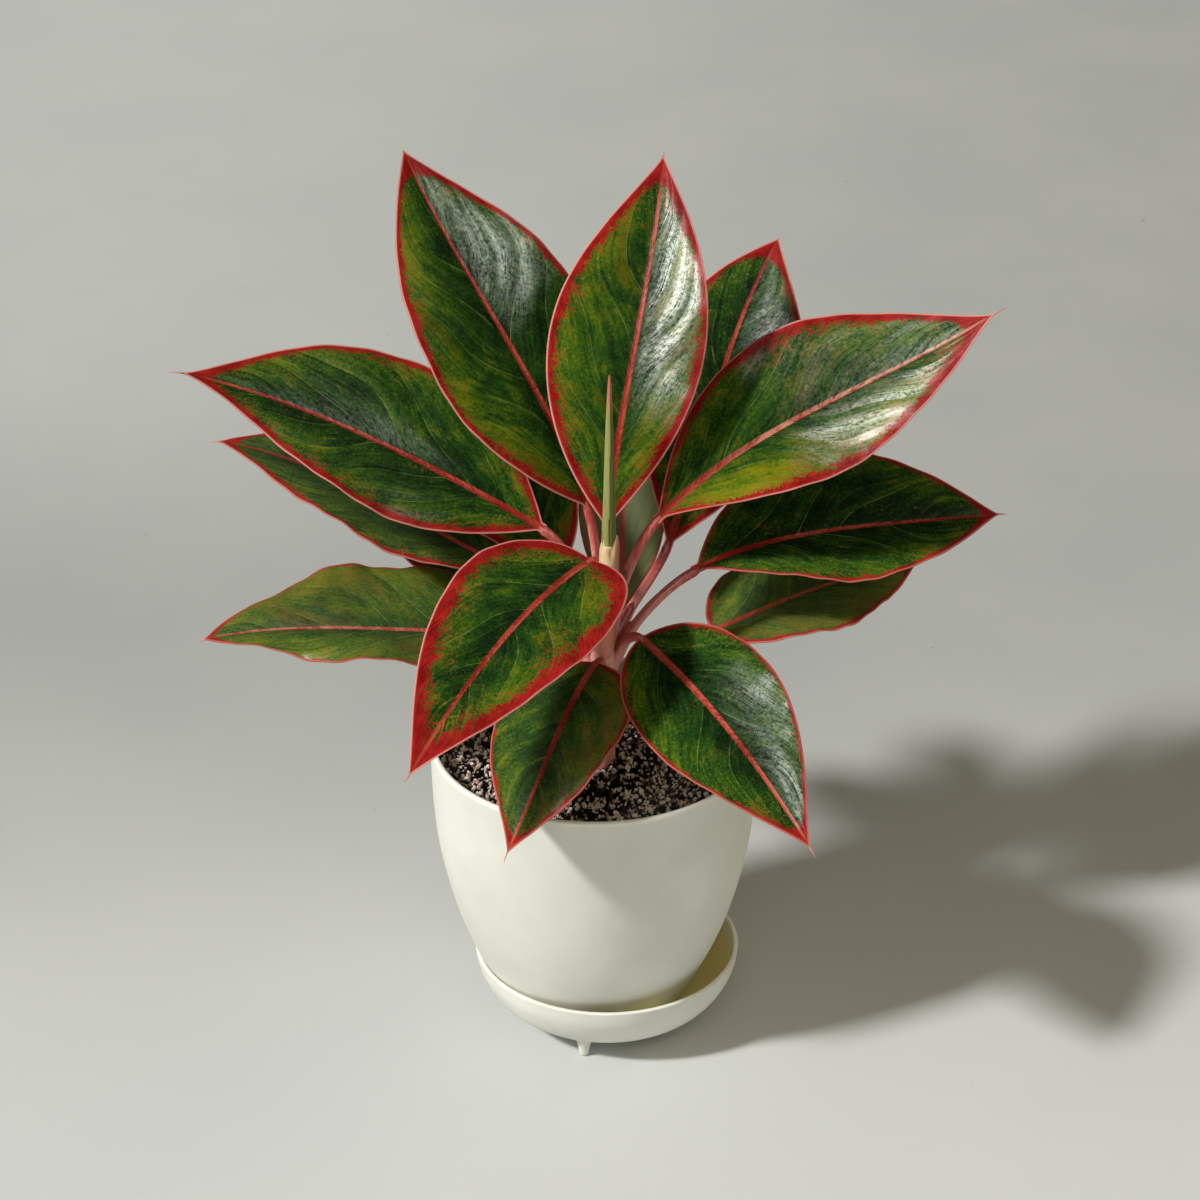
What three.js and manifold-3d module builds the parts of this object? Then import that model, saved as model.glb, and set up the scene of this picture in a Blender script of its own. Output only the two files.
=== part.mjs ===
// Potted Chinese evergreen: a red-edged foliage plant in a cream pot on a footed saucer.
// Millimetres, +Z up. The origin is on the floor, under the axis of the pot. -Y is the front.

import * as THREE from 'three';
import { mergeVertices } from 'three/addons/utils/BufferGeometryUtils.js';
import Module from 'manifold-3d';

const wasm = await Module();
wasm.setup();

// ---- driving dimensions -----------------------------------------------------------------

const CLEARANCE = 0.3;
const ROUND_SIDES = 40;

const SAUCER = {
  centre: new THREE.Vector2(5.2, 1.2),
  rimRadius: 53.4,
  rimHeight: 30,
  bottomHeight: 6,
  wall: 1.9,
  footCircle: 38,
  footTopRadius: 3.2,
  footBottomRadius: 1.9,
  footCount: 3,
  frontFootAngle: 256,
};

const POT = {
  rimRadius: 65,
  rimHeight: 127,
  wall: 2.2,
  floor: 2.6,
  footRadius: 30,
  drainRadius: 4,
  drainCircle: 15,
  drainCount: 4,
};
POT.bottomHeight = SAUCER.bottomHeight + SAUCER.wall + CLEARANCE;

const SOIL = {
  topHeight: 117.5,
  mound: 1.5,
  lump: 0.9,
  rings: 7,
};

const CANE = {
  foot: new THREE.Vector3(2, -2, 84),
  middle: new THREE.Vector3(2, -3, 130),
  top: new THREE.Vector3(4, -3, 170),
  radius: 6.4,
  sides: 14,
};

const STALK = {
  sheathRadius: 3.6,
  neckRadius: 1.9,
  sides: 8,
  steps: 9,
  bladeGap: 0.3,
};

const BLADE = {
  thickness: 0.8,
  ribDepth: 1.7,
  ribHalfWidth: 1.6,
  baseHalfWidth: 1.9,
  tipHalfWidth: 0.5,
  fold: 12,
  curl: 0.12,
  rows: [0, 0.03, 0.08, 0.15, 0.24, 0.34, 0.45, 0.56, 0.67, 0.77, 0.86, 0.93, 0.975, 0.998],
};

const SPEAR = {
  base: new THREE.Vector3(6, -7.4, 219),
  tip: new THREE.Vector3(6, -4, 290),
  radius: 2.9,
  sheathRadius: 3.5,
};

// Each leaf: where its blade starts and ends, its full width, and how it turns and bends.
// roll and twist turn it about its own length in degrees. arch lifts its rib off the straight
// line from base to tip, at one third and at two thirds, and sway moves the rib sideways.
// belly is where it is widest, point how drawn out its tip is, lobe how far its base reaches
// back, skew how much wider one half is than the other, node the height of its stalk's root.
// wave is the height of the ripple along its margins, waves their number, phase their start.
const LEAVES = [
  {
    name: 'leaf_top_left', base: [-2, 15, 223], tip: [-74, 75, 348], width: 77, roll: 14,
    arch: [8, 6], sway: [4, -7], belly: 0.47, point: 1.1, lobe: 0.1, node: 160,
  },
  {
    name: 'leaf_top', base: [5, -2, 222], tip: [27, 71, 348], width: 62, roll: -13,
    arch: [11, 10], sway: [-3, 4], belly: 0.49, point: 1.2, lobe: 0.1, skew: -0.1, twist: 3,
    node: 164,
  },
  {
    name: 'leaf_upper_right', base: [24, 0, 225], tip: [156, 46, 292], width: 68, roll: -32,
    arch: [5, -9], sway: [-13, -3], belly: 0.48, point: 1.3, lobe: 0, skew: -0.09,
    twist: 9, node: 158,
  },
  {
    name: 'leaf_back_right', base: [29, 41, 191], tip: [74, 109, 295], width: 64, roll: -25,
    arch: [3, 6], sway: [0, -7], belly: 0.52, point: 1.1, lobe: 0.01, skew: 0.07, node: 154,
  },
  {
    name: 'leaf_right', base: [39, 10, 198], tip: [161, 45, 204], width: 69, roll: -20,
    arch: [1, 0], sway: [-14, -4], belly: 0.5, point: 1.2, lobe: 0.08, skew: -0.13,
    twist: -17, node: 150,
  },
  {
    name: 'leaf_lower_right', base: [47, 25, 162], tip: [130, 62, 173], width: 64, roll: -5,
    arch: [5, 2], sway: [2, -5], belly: 0.43, point: 0.9, lobe: 0.15, twist: -13, node: 134,
  },
  {
    name: 'leaf_front_right', base: [18, -12, 180], tip: [82, -96, 136], width: 58, roll: -26,
    arch: [10, 13], sway: [-4, -3], belly: 0.39, point: 1.2, lobe: 0.14, twist: -4, node: 144,
  },
  {
    name: 'leaf_front', base: [1, -12, 169], tip: [-33, -88, 129], width: 54, roll: -3,
    arch: [9, 10], sway: [0, -5], belly: 0.4, point: 1.15, node: 138,
  },
  {
    name: 'leaf_front_left', base: [-1, -9, 213], tip: [-69, -108, 175], width: 64, roll: 17,
    arch: [16, 13], sway: [4, 3], belly: 0.34, point: 1.15, lobe: 0.2, twist: 15, node: 152,
  },
  {
    name: 'leaf_left', base: [-19, 4, 219], tip: [-158, 14, 282], width: 71, roll: 30,
    arch: [-4, 3], sway: [9, 10], belly: 0.45, point: 1.3, lobe: 0.03, skew: 0.12,
    twist: -19, node: 156,
  },
  {
    name: 'leaf_left_back', base: [-33, 18, 194], tip: [-148, 50, 234], width: 65, roll: 2,
    arch: [-2, 9], sway: [5, 6], belly: 0.47, point: 1, lobe: 0.05, twist: -8, node: 148,
  },
  {
    name: 'leaf_lower_left', base: [-37, 0, 176], tip: [-152, -8, 177], width: 68, roll: 6,
    arch: [6, 11], sway: [-8, -3], belly: 0.37, point: 0.95, lobe: 0.14, skew: 0.2, node: 140,
    wave: 2.4, phase: 0.5,
  },
  {
    name: 'leaf_rear_left', base: [-12, 32, 188], tip: [-79, 106, 234], width: 60, roll: 5,
    arch: [8, 8], sway: [0, 0], node: 150,
  },
  {
    name: 'leaf_rear', base: [11, 26, 171], tip: [12, 110, 222], width: 36, roll: 0,
    arch: [10, 8], sway: [0, 0], node: 144,
  },
  {
    name: 'leaf_rear_low', base: [-22, 32, 172], tip: [-104, 92, 194], width: 52, roll: 8,
    arch: [8, 8], sway: [0, 0], node: 138,
  },
];

const LEAF_DEFAULTS = {
  belly: 0.45, point: 1.1, lobe: 0.12, skew: 0, twist: 0, wave: 1.2, waves: 2.5, phase: 0.2,
};

// ---- finishes ---------------------------------------------------------------------------

const finish = (color, roughness) => new THREE.MeshStandardMaterial({ color, roughness, metalness: 0 });
const CREAM = finish('#e6e2d4', 0.55);
const EARTH = finish('#3a2c24', 0.95);
const PINK = finish('#c8756f', 0.5);
const GREEN = finish('#2f5a26', 0.4);
const PALE_GREEN = finish('#a9ad72', 0.45);

// ---- solids -----------------------------------------------------------------------------

function toSolid(geometry) {
  const bare = geometry.clone();
  bare.deleteAttribute('normal');
  bare.deleteAttribute('uv');
  const merged = mergeVertices(bare, 1e-4);
  const vertProperties = new Float32Array(merged.attributes.position.array);
  const triVerts = new Uint32Array(merged.index.array);
  return new wasm.Manifold(new wasm.Mesh({ numProp: 3, vertProperties, triVerts }));
}

function toMesh(name, solid, material) {
  const { vertProperties, triVerts } = solid.getMesh();
  const geometry = new THREE.BufferGeometry();
  geometry.setAttribute('position', new THREE.BufferAttribute(vertProperties, 3));
  geometry.setIndex(new THREE.BufferAttribute(triVerts, 1));
  geometry.computeVertexNormals();
  const mesh = new THREE.Mesh(geometry, material);
  mesh.name = name;
  return mesh;
}

function fromTriangles(points, triangles) {
  const geometry = new THREE.BufferGeometry().setFromPoints(points);
  geometry.setIndex(triangles.flat());
  return geometry;
}

// A round body about the Z axis through `centre`. The profile is a closed list of [radius, z].
function turned(profile, centre = new THREE.Vector2(0, 0), sides = ROUND_SIDES) {
  const points = profile.map(([radius, z]) => new THREE.Vector2(radius, z));
  const geometry = new THREE.LatheGeometry(points, sides);
  geometry.rotateX(Math.PI / 2);
  geometry.translate(centre.x, centre.y, 0);
  return toSolid(geometry);
}

// A straight round peg or hole that stands on Z, from `bottom` to `top`.
function upright(x, y, bottom, top, bottomRadius, topRadius, sides) {
  const geometry = new THREE.CylinderGeometry(topRadius, bottomRadius, top - bottom, sides);
  geometry.rotateX(Math.PI / 2);
  geometry.translate(x, y, (top + bottom) / 2);
  return toSolid(geometry);
}

// A closed body through rings of equal length, each wound anticlockwise about the way along it.
function lofted(rings) {
  const sides = rings[0].length;
  const triangles = [];
  for (let row = 0; row + 1 < rings.length; row += 1) {
    for (let side = 0; side < sides; side += 1) {
      const here = row * sides + side;
      const beside = row * sides + ((side + 1) % sides);
      triangles.push([here, beside, beside + sides], [here, beside + sides, here + sides]);
    }
  }
  const last = (rings.length - 1) * sides;
  for (let side = 1; side + 1 < sides; side += 1) {
    triangles.push([0, side + 1, side], [last, last + side, last + side + 1]);
  }
  return toSolid(fromTriangles(rings.flat(), triangles));
}

// A round stem along a curve, its radius given at each part of its length.
function stem(curve, steps, sides, radiusAt) {
  const frames = curve.computeFrenetFrames(steps, false);
  const rings = [];
  for (let step = 0; step <= steps; step += 1) {
    const centre = curve.getPointAt(step / steps);
    const radius = radiusAt(step / steps);
    const ring = [];
    for (let side = 0; side < sides; side += 1) {
      const angle = (2 * Math.PI * side) / sides;
      const out = frames.normals[step].clone().multiplyScalar(Math.cos(angle) * radius);
      out.addScaledVector(frames.binormals[step], Math.sin(angle) * radius);
      ring.push(out.add(centre));
    }
    rings.push(ring);
  }
  return lofted(rings);
}

// ---- pot and saucer ---------------------------------------------------------------------

// Height and radius of the pot's outside, from the foot to the rim.
function potOutside(count = 10) {
  const curve = new THREE.SplineCurve([
    new THREE.Vector2(POT.footRadius, POT.bottomHeight),
    new THREE.Vector2(36.5, 12.5),
    new THREE.Vector2(45.6, 29),
    new THREE.Vector2(54.5, 51),
    new THREE.Vector2(61.2, 77),
    new THREE.Vector2(64, 100),
    new THREE.Vector2(POT.rimRadius, POT.rimHeight),
  ]);
  return curve.getPoints(count).map((point) => [point.x, point.y]);
}

function makePot() {
  const outside = potOutside();
  const floorTop = POT.bottomHeight + POT.floor;
  const inside = outside
    .filter(([, z]) => z > floorTop + 2)
    .map(([radius, z]) => [radius - POT.wall, z])
    .reverse();
  const lip = [
    [POT.rimRadius - 0.2, POT.rimHeight + 0.7],
    [POT.rimRadius - POT.wall + 0.2, POT.rimHeight + 0.7],
  ];
  const profile = [
    [0, POT.bottomHeight],
    ...outside,
    ...lip,
    ...inside,
    [POT.footRadius - 1, floorTop],
    [0, floorTop],
  ];
  let pot = turned(profile);
  for (let hole = 0; hole < POT.drainCount; hole += 1) {
    const angle = (2 * Math.PI * (hole + 0.5)) / POT.drainCount;
    const x = POT.drainCircle * Math.cos(angle);
    const y = POT.drainCircle * Math.sin(angle);
    const bottom = POT.bottomHeight - 1;
    pot = pot.subtract(upright(x, y, bottom, floorTop + 1, POT.drainRadius, POT.drainRadius, 12));
  }
  return toMesh('pot', pot, CREAM);
}

function makeSaucer() {
  const { bottomHeight, rimHeight, rimRadius, wall } = SAUCER;
  const outside = new THREE.SplineCurve([
    new THREE.Vector2(34, bottomHeight),
    new THREE.Vector2(41, 8.4),
    new THREE.Vector2(47.5, 14.5),
    new THREE.Vector2(52, 23),
    new THREE.Vector2(rimRadius, rimHeight),
  ]).getPoints(8).map((point) => [point.x, point.y]);
  const inside = outside
    .map(([radius, z]) => [radius - wall, Math.max(z, bottomHeight + wall)])
    .filter(([, z], index) => index === 1 || z > bottomHeight + wall)
    .reverse();
  const lip = [[rimRadius - wall / 2, rimHeight + 0.6]];
  const profile = [[0, bottomHeight], ...outside, ...lip, ...inside, [0, bottomHeight + wall]];
  let saucer = turned(profile, SAUCER.centre);
  for (let foot = 0; foot < SAUCER.footCount; foot += 1) {
    const angle = THREE.MathUtils.degToRad(SAUCER.frontFootAngle + (360 * foot) / SAUCER.footCount);
    const x = SAUCER.centre.x + SAUCER.footCircle * Math.cos(angle);
    const y = SAUCER.centre.y + SAUCER.footCircle * Math.sin(angle);
    const top = bottomHeight + wall + 0.5;
    const peg = upright(x, y, 0, top, SAUCER.footBottomRadius, SAUCER.footTopRadius, 16);
    saucer = saucer.add(peg);
  }
  return toMesh('saucer', saucer, CREAM);
}

// ---- soil -------------------------------------------------------------------------------

// Potting mix that fills the pot, with a slightly lumpy, slightly mounded top.
function makeSoil() {
  const floorTop = POT.bottomHeight + POT.floor + CLEARANCE;
  const wall = potOutside()
    .filter(([, z]) => z > floorTop + 2 && z < SOIL.topHeight)
    .map(([radius, z]) => [radius - POT.wall - CLEARANCE - 0.2, z]);
  const edgeRadius = wall[wall.length - 1][0];
  const profile = [
    [0, floorTop],
    [POT.footRadius - 2, floorTop],
    ...wall,
    [edgeRadius, SOIL.topHeight - SOIL.lump],
  ];
  for (let ring = SOIL.rings - 1; ring >= 0; ring -= 1) {
    profile.push([(edgeRadius * ring) / SOIL.rings, SOIL.topHeight]);
  }
  const points = profile.map(([radius, z]) => new THREE.Vector2(radius, z));
  const geometry = new THREE.LatheGeometry(points, ROUND_SIDES);
  geometry.rotateX(Math.PI / 2);
  const places = geometry.attributes.position;
  for (let index = 0; index < places.count; index += 1) {
    const x = places.getX(index);
    const y = places.getY(index);
    if (places.getZ(index) > SOIL.topHeight - 0.01) {
      const lump = SOIL.lump * Math.sin(0.31 * x + 0.9) * Math.sin(0.27 * y + 0.4);
      const mound = SOIL.mound * (1 - (x * x + y * y) / (edgeRadius * edgeRadius));
      places.setZ(index, SOIL.topHeight + mound + lump);
    }
  }
  let soil = toSolid(geometry);
  const foot = CANE.foot;
  const holeRadius = CANE.radius + CLEARANCE + 0.7;
  const hole = upright(foot.x, foot.y, foot.z - CLEARANCE, 125, holeRadius, holeRadius, 18);
  soil = soil.subtract(hole);
  return toMesh('soil', soil, EARTH);
}

// ---- leaves -----------------------------------------------------------------------------

// The line of a leaf's rib and the directions that go with it.
class Rib {
  constructor(leaf) {
    this.leaf = leaf;
    const base = new THREE.Vector3(...leaf.base);
    const tip = new THREE.Vector3(...leaf.tip);
    const along = tip.clone().sub(base);
    const forward = along.clone().normalize();
    const side = forward.clone().cross(new THREE.Vector3(0, 0, 1)).normalize();
    this.side = side.applyAxisAngle(forward, -THREE.MathUtils.degToRad(leaf.roll));
    const face = this.side.clone().cross(forward);
    const bend = (part, index) => base.clone()
      .addScaledVector(along, part)
      .addScaledVector(face, leaf.arch[index])
      .addScaledVector(this.side, leaf.sway[index]);
    this.curve = new THREE.CubicBezierCurve3(base, bend(1 / 3, 0), bend(2 / 3, 1), tip);
  }

  // Place, way along, way across and upward face of the blade at part t of its length.
  at(t) {
    const place = this.curve.getPoint(t);
    const along = this.curve.getTangent(t);
    const across = this.side.clone().addScaledVector(along, -this.side.dot(along)).normalize();
    across.applyAxisAngle(along, -THREE.MathUtils.degToRad(this.leaf.twist) * (t - 0.5));
    const face = across.clone().cross(along);
    return { place, along, across, face };
  }

  halfWidth(t) {
    const { width, belly, point } = this.leaf;
    const rise = (point * belly) / (1 - belly);
    const half = (width / 2) * (t / belly) ** rise * ((1 - t) / (1 - belly)) ** point;
    return Math.max(half, t < 0.5 ? BLADE.baseHalfWidth : BLADE.tipHalfWidth);
  }

  // A point of the upper face: s runs from -1 at one margin to 1 at the other.
  point(t, s) {
    const { place, along, across, face } = this.at(t);
    const { lobe, skew, wave, waves, phase } = this.leaf;
    const half = this.halfWidth(t) * (1 + skew * Math.sign(s));
    const fold = THREE.MathUtils.degToRad(BLADE.fold);
    const out = half * s * Math.cos(fold);
    const turns = waves * t + phase + 0.3 * Math.sign(s);
    const ripple = wave * Math.sin(Math.PI * t) * Math.sin(2 * Math.PI * turns);
    const lift = half * Math.abs(s) * Math.sin(fold) - BLADE.curl * half * s * s
      + ripple * Math.abs(s) ** 3;
    const back = 2 * lobe * (half - BLADE.baseHalfWidth) * (1 - t) ** 3 * s * s;
    return place.addScaledVector(across, out).addScaledVector(face, lift).addScaledVector(along, -back);
  }
}

// A thin blade with a rib along its underside. Both faces are split into triangles alike.
function makeBlade(leaf, rib) {
  const upper = [];
  const lower = [];
  for (const t of BLADE.rows) {
    const ribSide = Math.min(0.4, BLADE.ribHalfWidth / rib.halfWidth(t));
    const { face } = rib.at(t);
    for (const s of [-1, -0.6, -ribSide, 0, ribSide, 0.6, 1]) {
      const top = rib.point(t, s);
      const depth = BLADE.thickness + (s === 0 ? BLADE.ribDepth * (1 - t) : 0);
      upper.push(top);
      lower.push(top.clone().addScaledVector(face, -depth));
    }
  }
  const rows = BLADE.rows.length;
  const columns = upper.length / rows;
  const under = upper.length;
  const triangles = [];
  const quad = (a, b, c, d) => triangles.push([a, b, c], [a, c, d]);
  for (let row = 0; row + 1 < rows; row += 1) {
    for (let column = 0; column + 1 < columns; column += 1) {
      const here = row * columns + column;
      const ahead = here + columns;
      triangles.push([here, here + 1, ahead + 1], [here, ahead + 1, ahead]);
      triangles.push([under + here, under + ahead + 1, under + here + 1]);
      triangles.push([under + here, under + ahead, under + ahead + 1]);
    }
    const left = row * columns;
    const right = left + columns - 1;
    quad(left, left + columns, under + left + columns, under + left);
    quad(right, under + right, under + right + columns, right + columns);
  }
  const end = (rows - 1) * columns;
  for (let column = 0; column + 1 < columns; column += 1) {
    quad(column, under + column, under + column + 1, column + 1);
    quad(end + column, end + column + 1, under + end + column + 1, under + end + column);
  }
  return toMesh(leaf.name, toSolid(fromTriangles([...upper, ...lower], triangles)), GREEN);
}

// A stalk grows up out of the cane, inside a sheath at first, and turns into the leaf's rib.
function makeStalk(leaf, rib, cane) {
  const root = cane.getPoint((leaf.node - CANE.foot.z) / (CANE.top.z - CANE.foot.z));
  const { place, along, face } = rib.at(0);
  const base = place.addScaledVector(face, -(BLADE.thickness + BLADE.ribDepth) / 2);
  const out = base.clone().sub(root);
  const rise = out.length();
  const outward = new THREE.Vector3(out.x, out.y, 0).multiplyScalar(0.35 / rise);
  const upward = outward.add(new THREE.Vector3(0, 0, 1)).normalize();
  const end = base.clone().addScaledVector(along, -STALK.bladeGap);
  const curve = new THREE.CubicBezierCurve3(
    root,
    root.clone().addScaledVector(upward, rise * 0.4),
    end.clone().addScaledVector(along, -Math.min(14, rise * 0.3)),
    end,
  );
  const taper = (part) => {
    const sheath = THREE.MathUtils.smoothstep(0.55 - part, 0, 0.3);
    return STALK.neckRadius + (STALK.sheathRadius - STALK.neckRadius) * sheath;
  };
  return stem(curve, STALK.steps, STALK.sides, taper);
}

// The sheath that the young leaf grows out of, in front of the top leaf's stalk.
function makeSpearSheath(cane) {
  const root = cane.getPoint(0.9);
  const lean = SPEAR.tip.clone().sub(SPEAR.base).normalize();
  const end = SPEAR.base.clone().addScaledVector(lean, -STALK.bladeGap);
  const curve = new THREE.QuadraticBezierCurve3(root, end.clone().addScaledVector(lean, -25), end);
  return stem(curve, 6, STALK.sides, () => SPEAR.sheathRadius);
}

// The cane with all its stalks and sheaths, which grew as one piece.
function makeShoot(leaves, ribs) {
  const cane = new THREE.QuadraticBezierCurve3(CANE.foot, CANE.middle, CANE.top);
  let shoot = stem(cane, 6, CANE.sides, (part) => CANE.radius * (1 - 0.25 * part * part));
  for (const [index, leaf] of leaves.entries()) {
    shoot = shoot.add(makeStalk(leaf, ribs[index], cane));
  }
  shoot = shoot.add(makeSpearSheath(cane));
  return toMesh('shoot', shoot, PINK);
}

function makeSpear() {
  const curve = new THREE.LineCurve3(SPEAR.base, SPEAR.tip);
  const taper = (part) => SPEAR.radius * (0.12 + 0.88 * (1 - part) ** 0.8);
  return toMesh('spear_leaf', stem(curve, 7, 8, taper), PALE_GREEN);
}

// ---- assembly ---------------------------------------------------------------------------

const leaves = LEAVES.map((leaf) => ({ ...LEAF_DEFAULTS, ...leaf }));
const ribs = leaves.map((leaf) => new Rib(leaf));

const plant = new THREE.Group();
plant.name = 'potted_chinese_evergreen';
plant.add(makePot(), makeSaucer(), makeSoil(), makeShoot(leaves, ribs), makeSpear());
leaves.forEach((leaf, index) => plant.add(makeBlade(leaf, ribs[index])));

export default plant;
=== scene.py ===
import math
from dataclasses import dataclass
from types import SimpleNamespace

import bmesh
import bpy
import numpy as np
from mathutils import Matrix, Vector


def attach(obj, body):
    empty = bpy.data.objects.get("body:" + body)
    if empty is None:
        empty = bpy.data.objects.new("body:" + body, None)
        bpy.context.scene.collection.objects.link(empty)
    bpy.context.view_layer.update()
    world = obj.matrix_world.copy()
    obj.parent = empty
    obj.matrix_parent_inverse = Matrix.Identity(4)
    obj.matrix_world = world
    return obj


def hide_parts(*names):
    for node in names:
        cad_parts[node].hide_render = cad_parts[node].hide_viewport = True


# Potted Chinese evergreen: the visual model. Shapes are in millimetres and become metres
# in make_piece. +Z is up, -Y is the front, and the origin is on the floor under the pot.

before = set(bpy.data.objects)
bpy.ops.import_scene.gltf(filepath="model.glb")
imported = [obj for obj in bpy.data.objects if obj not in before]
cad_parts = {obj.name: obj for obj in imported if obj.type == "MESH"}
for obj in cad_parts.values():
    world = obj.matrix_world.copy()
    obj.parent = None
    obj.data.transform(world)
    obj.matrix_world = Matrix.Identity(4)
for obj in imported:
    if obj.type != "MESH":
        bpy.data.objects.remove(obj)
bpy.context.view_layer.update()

MM = 0.001

# ---- camera and light -------------------------------------------------------------------

CAMERA = SimpleNamespace(target=(2.4, 0.0, 190.0), distance=1800.0, elevation=29.2,
                         focal_pixels=4613.0, image_pixels=1200, sensor=36.0)
SUN = SimpleNamespace(azimuth=27.0, elevation=43.0, spread=6.0, strength=3.3,
                      colour=(1.0, 0.99, 0.965))
SKY = SimpleNamespace(colour=(1.0, 0.95, 0.80), strength=0.18)
# Softboxes: azimuth and elevation seen from the plant, width and height in metres, watts,
# colour. The fills light surfaces evenly, and the sheens are seen only as reflections.
SOFTBOXES = {
    "front_fill": (-94.0, 32.0, 0.90, 0.90, 5.2, (1.0, 0.92, 0.74)),
    "right_fill": (30.0, 20.0, 0.90, 0.90, 6.5, (1.0, 0.82, 0.48)),
    "front_sheen": (-107.0, 48.0, 0.28, 0.92, 98.0, (1.0, 1.0, 0.96)),
    "top_sheen": (-166.0, 74.0, 0.26, 0.26, 42.0, (1.0, 1.0, 0.96)),
    "right_sheen": (-38.0, 47.0, 0.60, 0.60, 54.0, (1.0, 1.0, 0.94)),
}
SOFTBOX_DISTANCE = 2.0


def place_camera():
    tilt = math.radians(CAMERA.elevation)
    data = bpy.data.cameras.new("studio_camera")
    data.sensor_width = CAMERA.sensor
    data.lens = CAMERA.focal_pixels / CAMERA.image_pixels * CAMERA.sensor
    camera = bpy.data.objects.new("studio_camera", data)
    x, y, z = CAMERA.target
    back = CAMERA.distance
    camera.location = (x * MM, (y - back * math.cos(tilt)) * MM, (z + back * math.sin(tilt)) * MM)
    camera.rotation_euler = (math.pi / 2 - tilt, 0, 0)
    bpy.context.scene.collection.objects.link(camera)
    bpy.context.scene.camera = camera


def add_light(name, kind, energy, colour):
    data = bpy.data.lights.new(name, kind)
    data.energy = energy
    data.color = colour
    light = bpy.data.objects.new(name, data)
    bpy.context.scene.collection.objects.link(light)
    return light


def place_sun():
    sun = add_light("key_light", "SUN", SUN.strength, SUN.colour)
    sun.data.angle = math.radians(SUN.spread)
    across, up = math.radians(SUN.azimuth), math.radians(SUN.elevation)
    sun.rotation_euler = (0, math.pi / 2 - up, across + math.pi)
    sun.visible_glossy = False


def place_softboxes():
    for name, (azimuth, elevation, width, height, power, colour) in SOFTBOXES.items():
        box = add_light(name, "AREA", power, colour)
        box.data.shape = "RECTANGLE"
        box.data.size = width
        box.data.size_y = height
        turn, rise = math.radians(azimuth), math.radians(elevation)
        way = Vector((math.cos(turn) * math.cos(rise), math.sin(turn) * math.cos(rise),
                      math.sin(rise)))
        box.location = way * SOFTBOX_DISTANCE + Vector(CAMERA.target) * MM
        box.rotation_euler = way.to_track_quat("Z", "Y").to_euler()
        box.visible_diffuse = name.endswith("fill")
        box.visible_glossy = name.endswith("sheen")


def place_sky():
    world = bpy.data.worlds.new("studio_air")
    world.use_nodes = True
    background = world.node_tree.nodes["Background"]
    background.inputs["Color"].default_value = (*SKY.colour, 1)
    background.inputs["Strength"].default_value = SKY.strength
    world.cycles_visibility.glossy = False
    bpy.context.scene.world = world
    bpy.context.scene.view_settings.view_transform = "Standard"


# ---- short calls for shader nodes -------------------------------------------------------

def tone(red, green, blue):
    """A colour given as screen values from 0 to 255, for a shader socket."""
    def linear(value):
        value /= 255
        return value / 12.92 if value <= 0.04045 else ((value + 0.055) / 1.055) ** 2.4
    return (linear(red), linear(green), linear(blue), 1)


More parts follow.
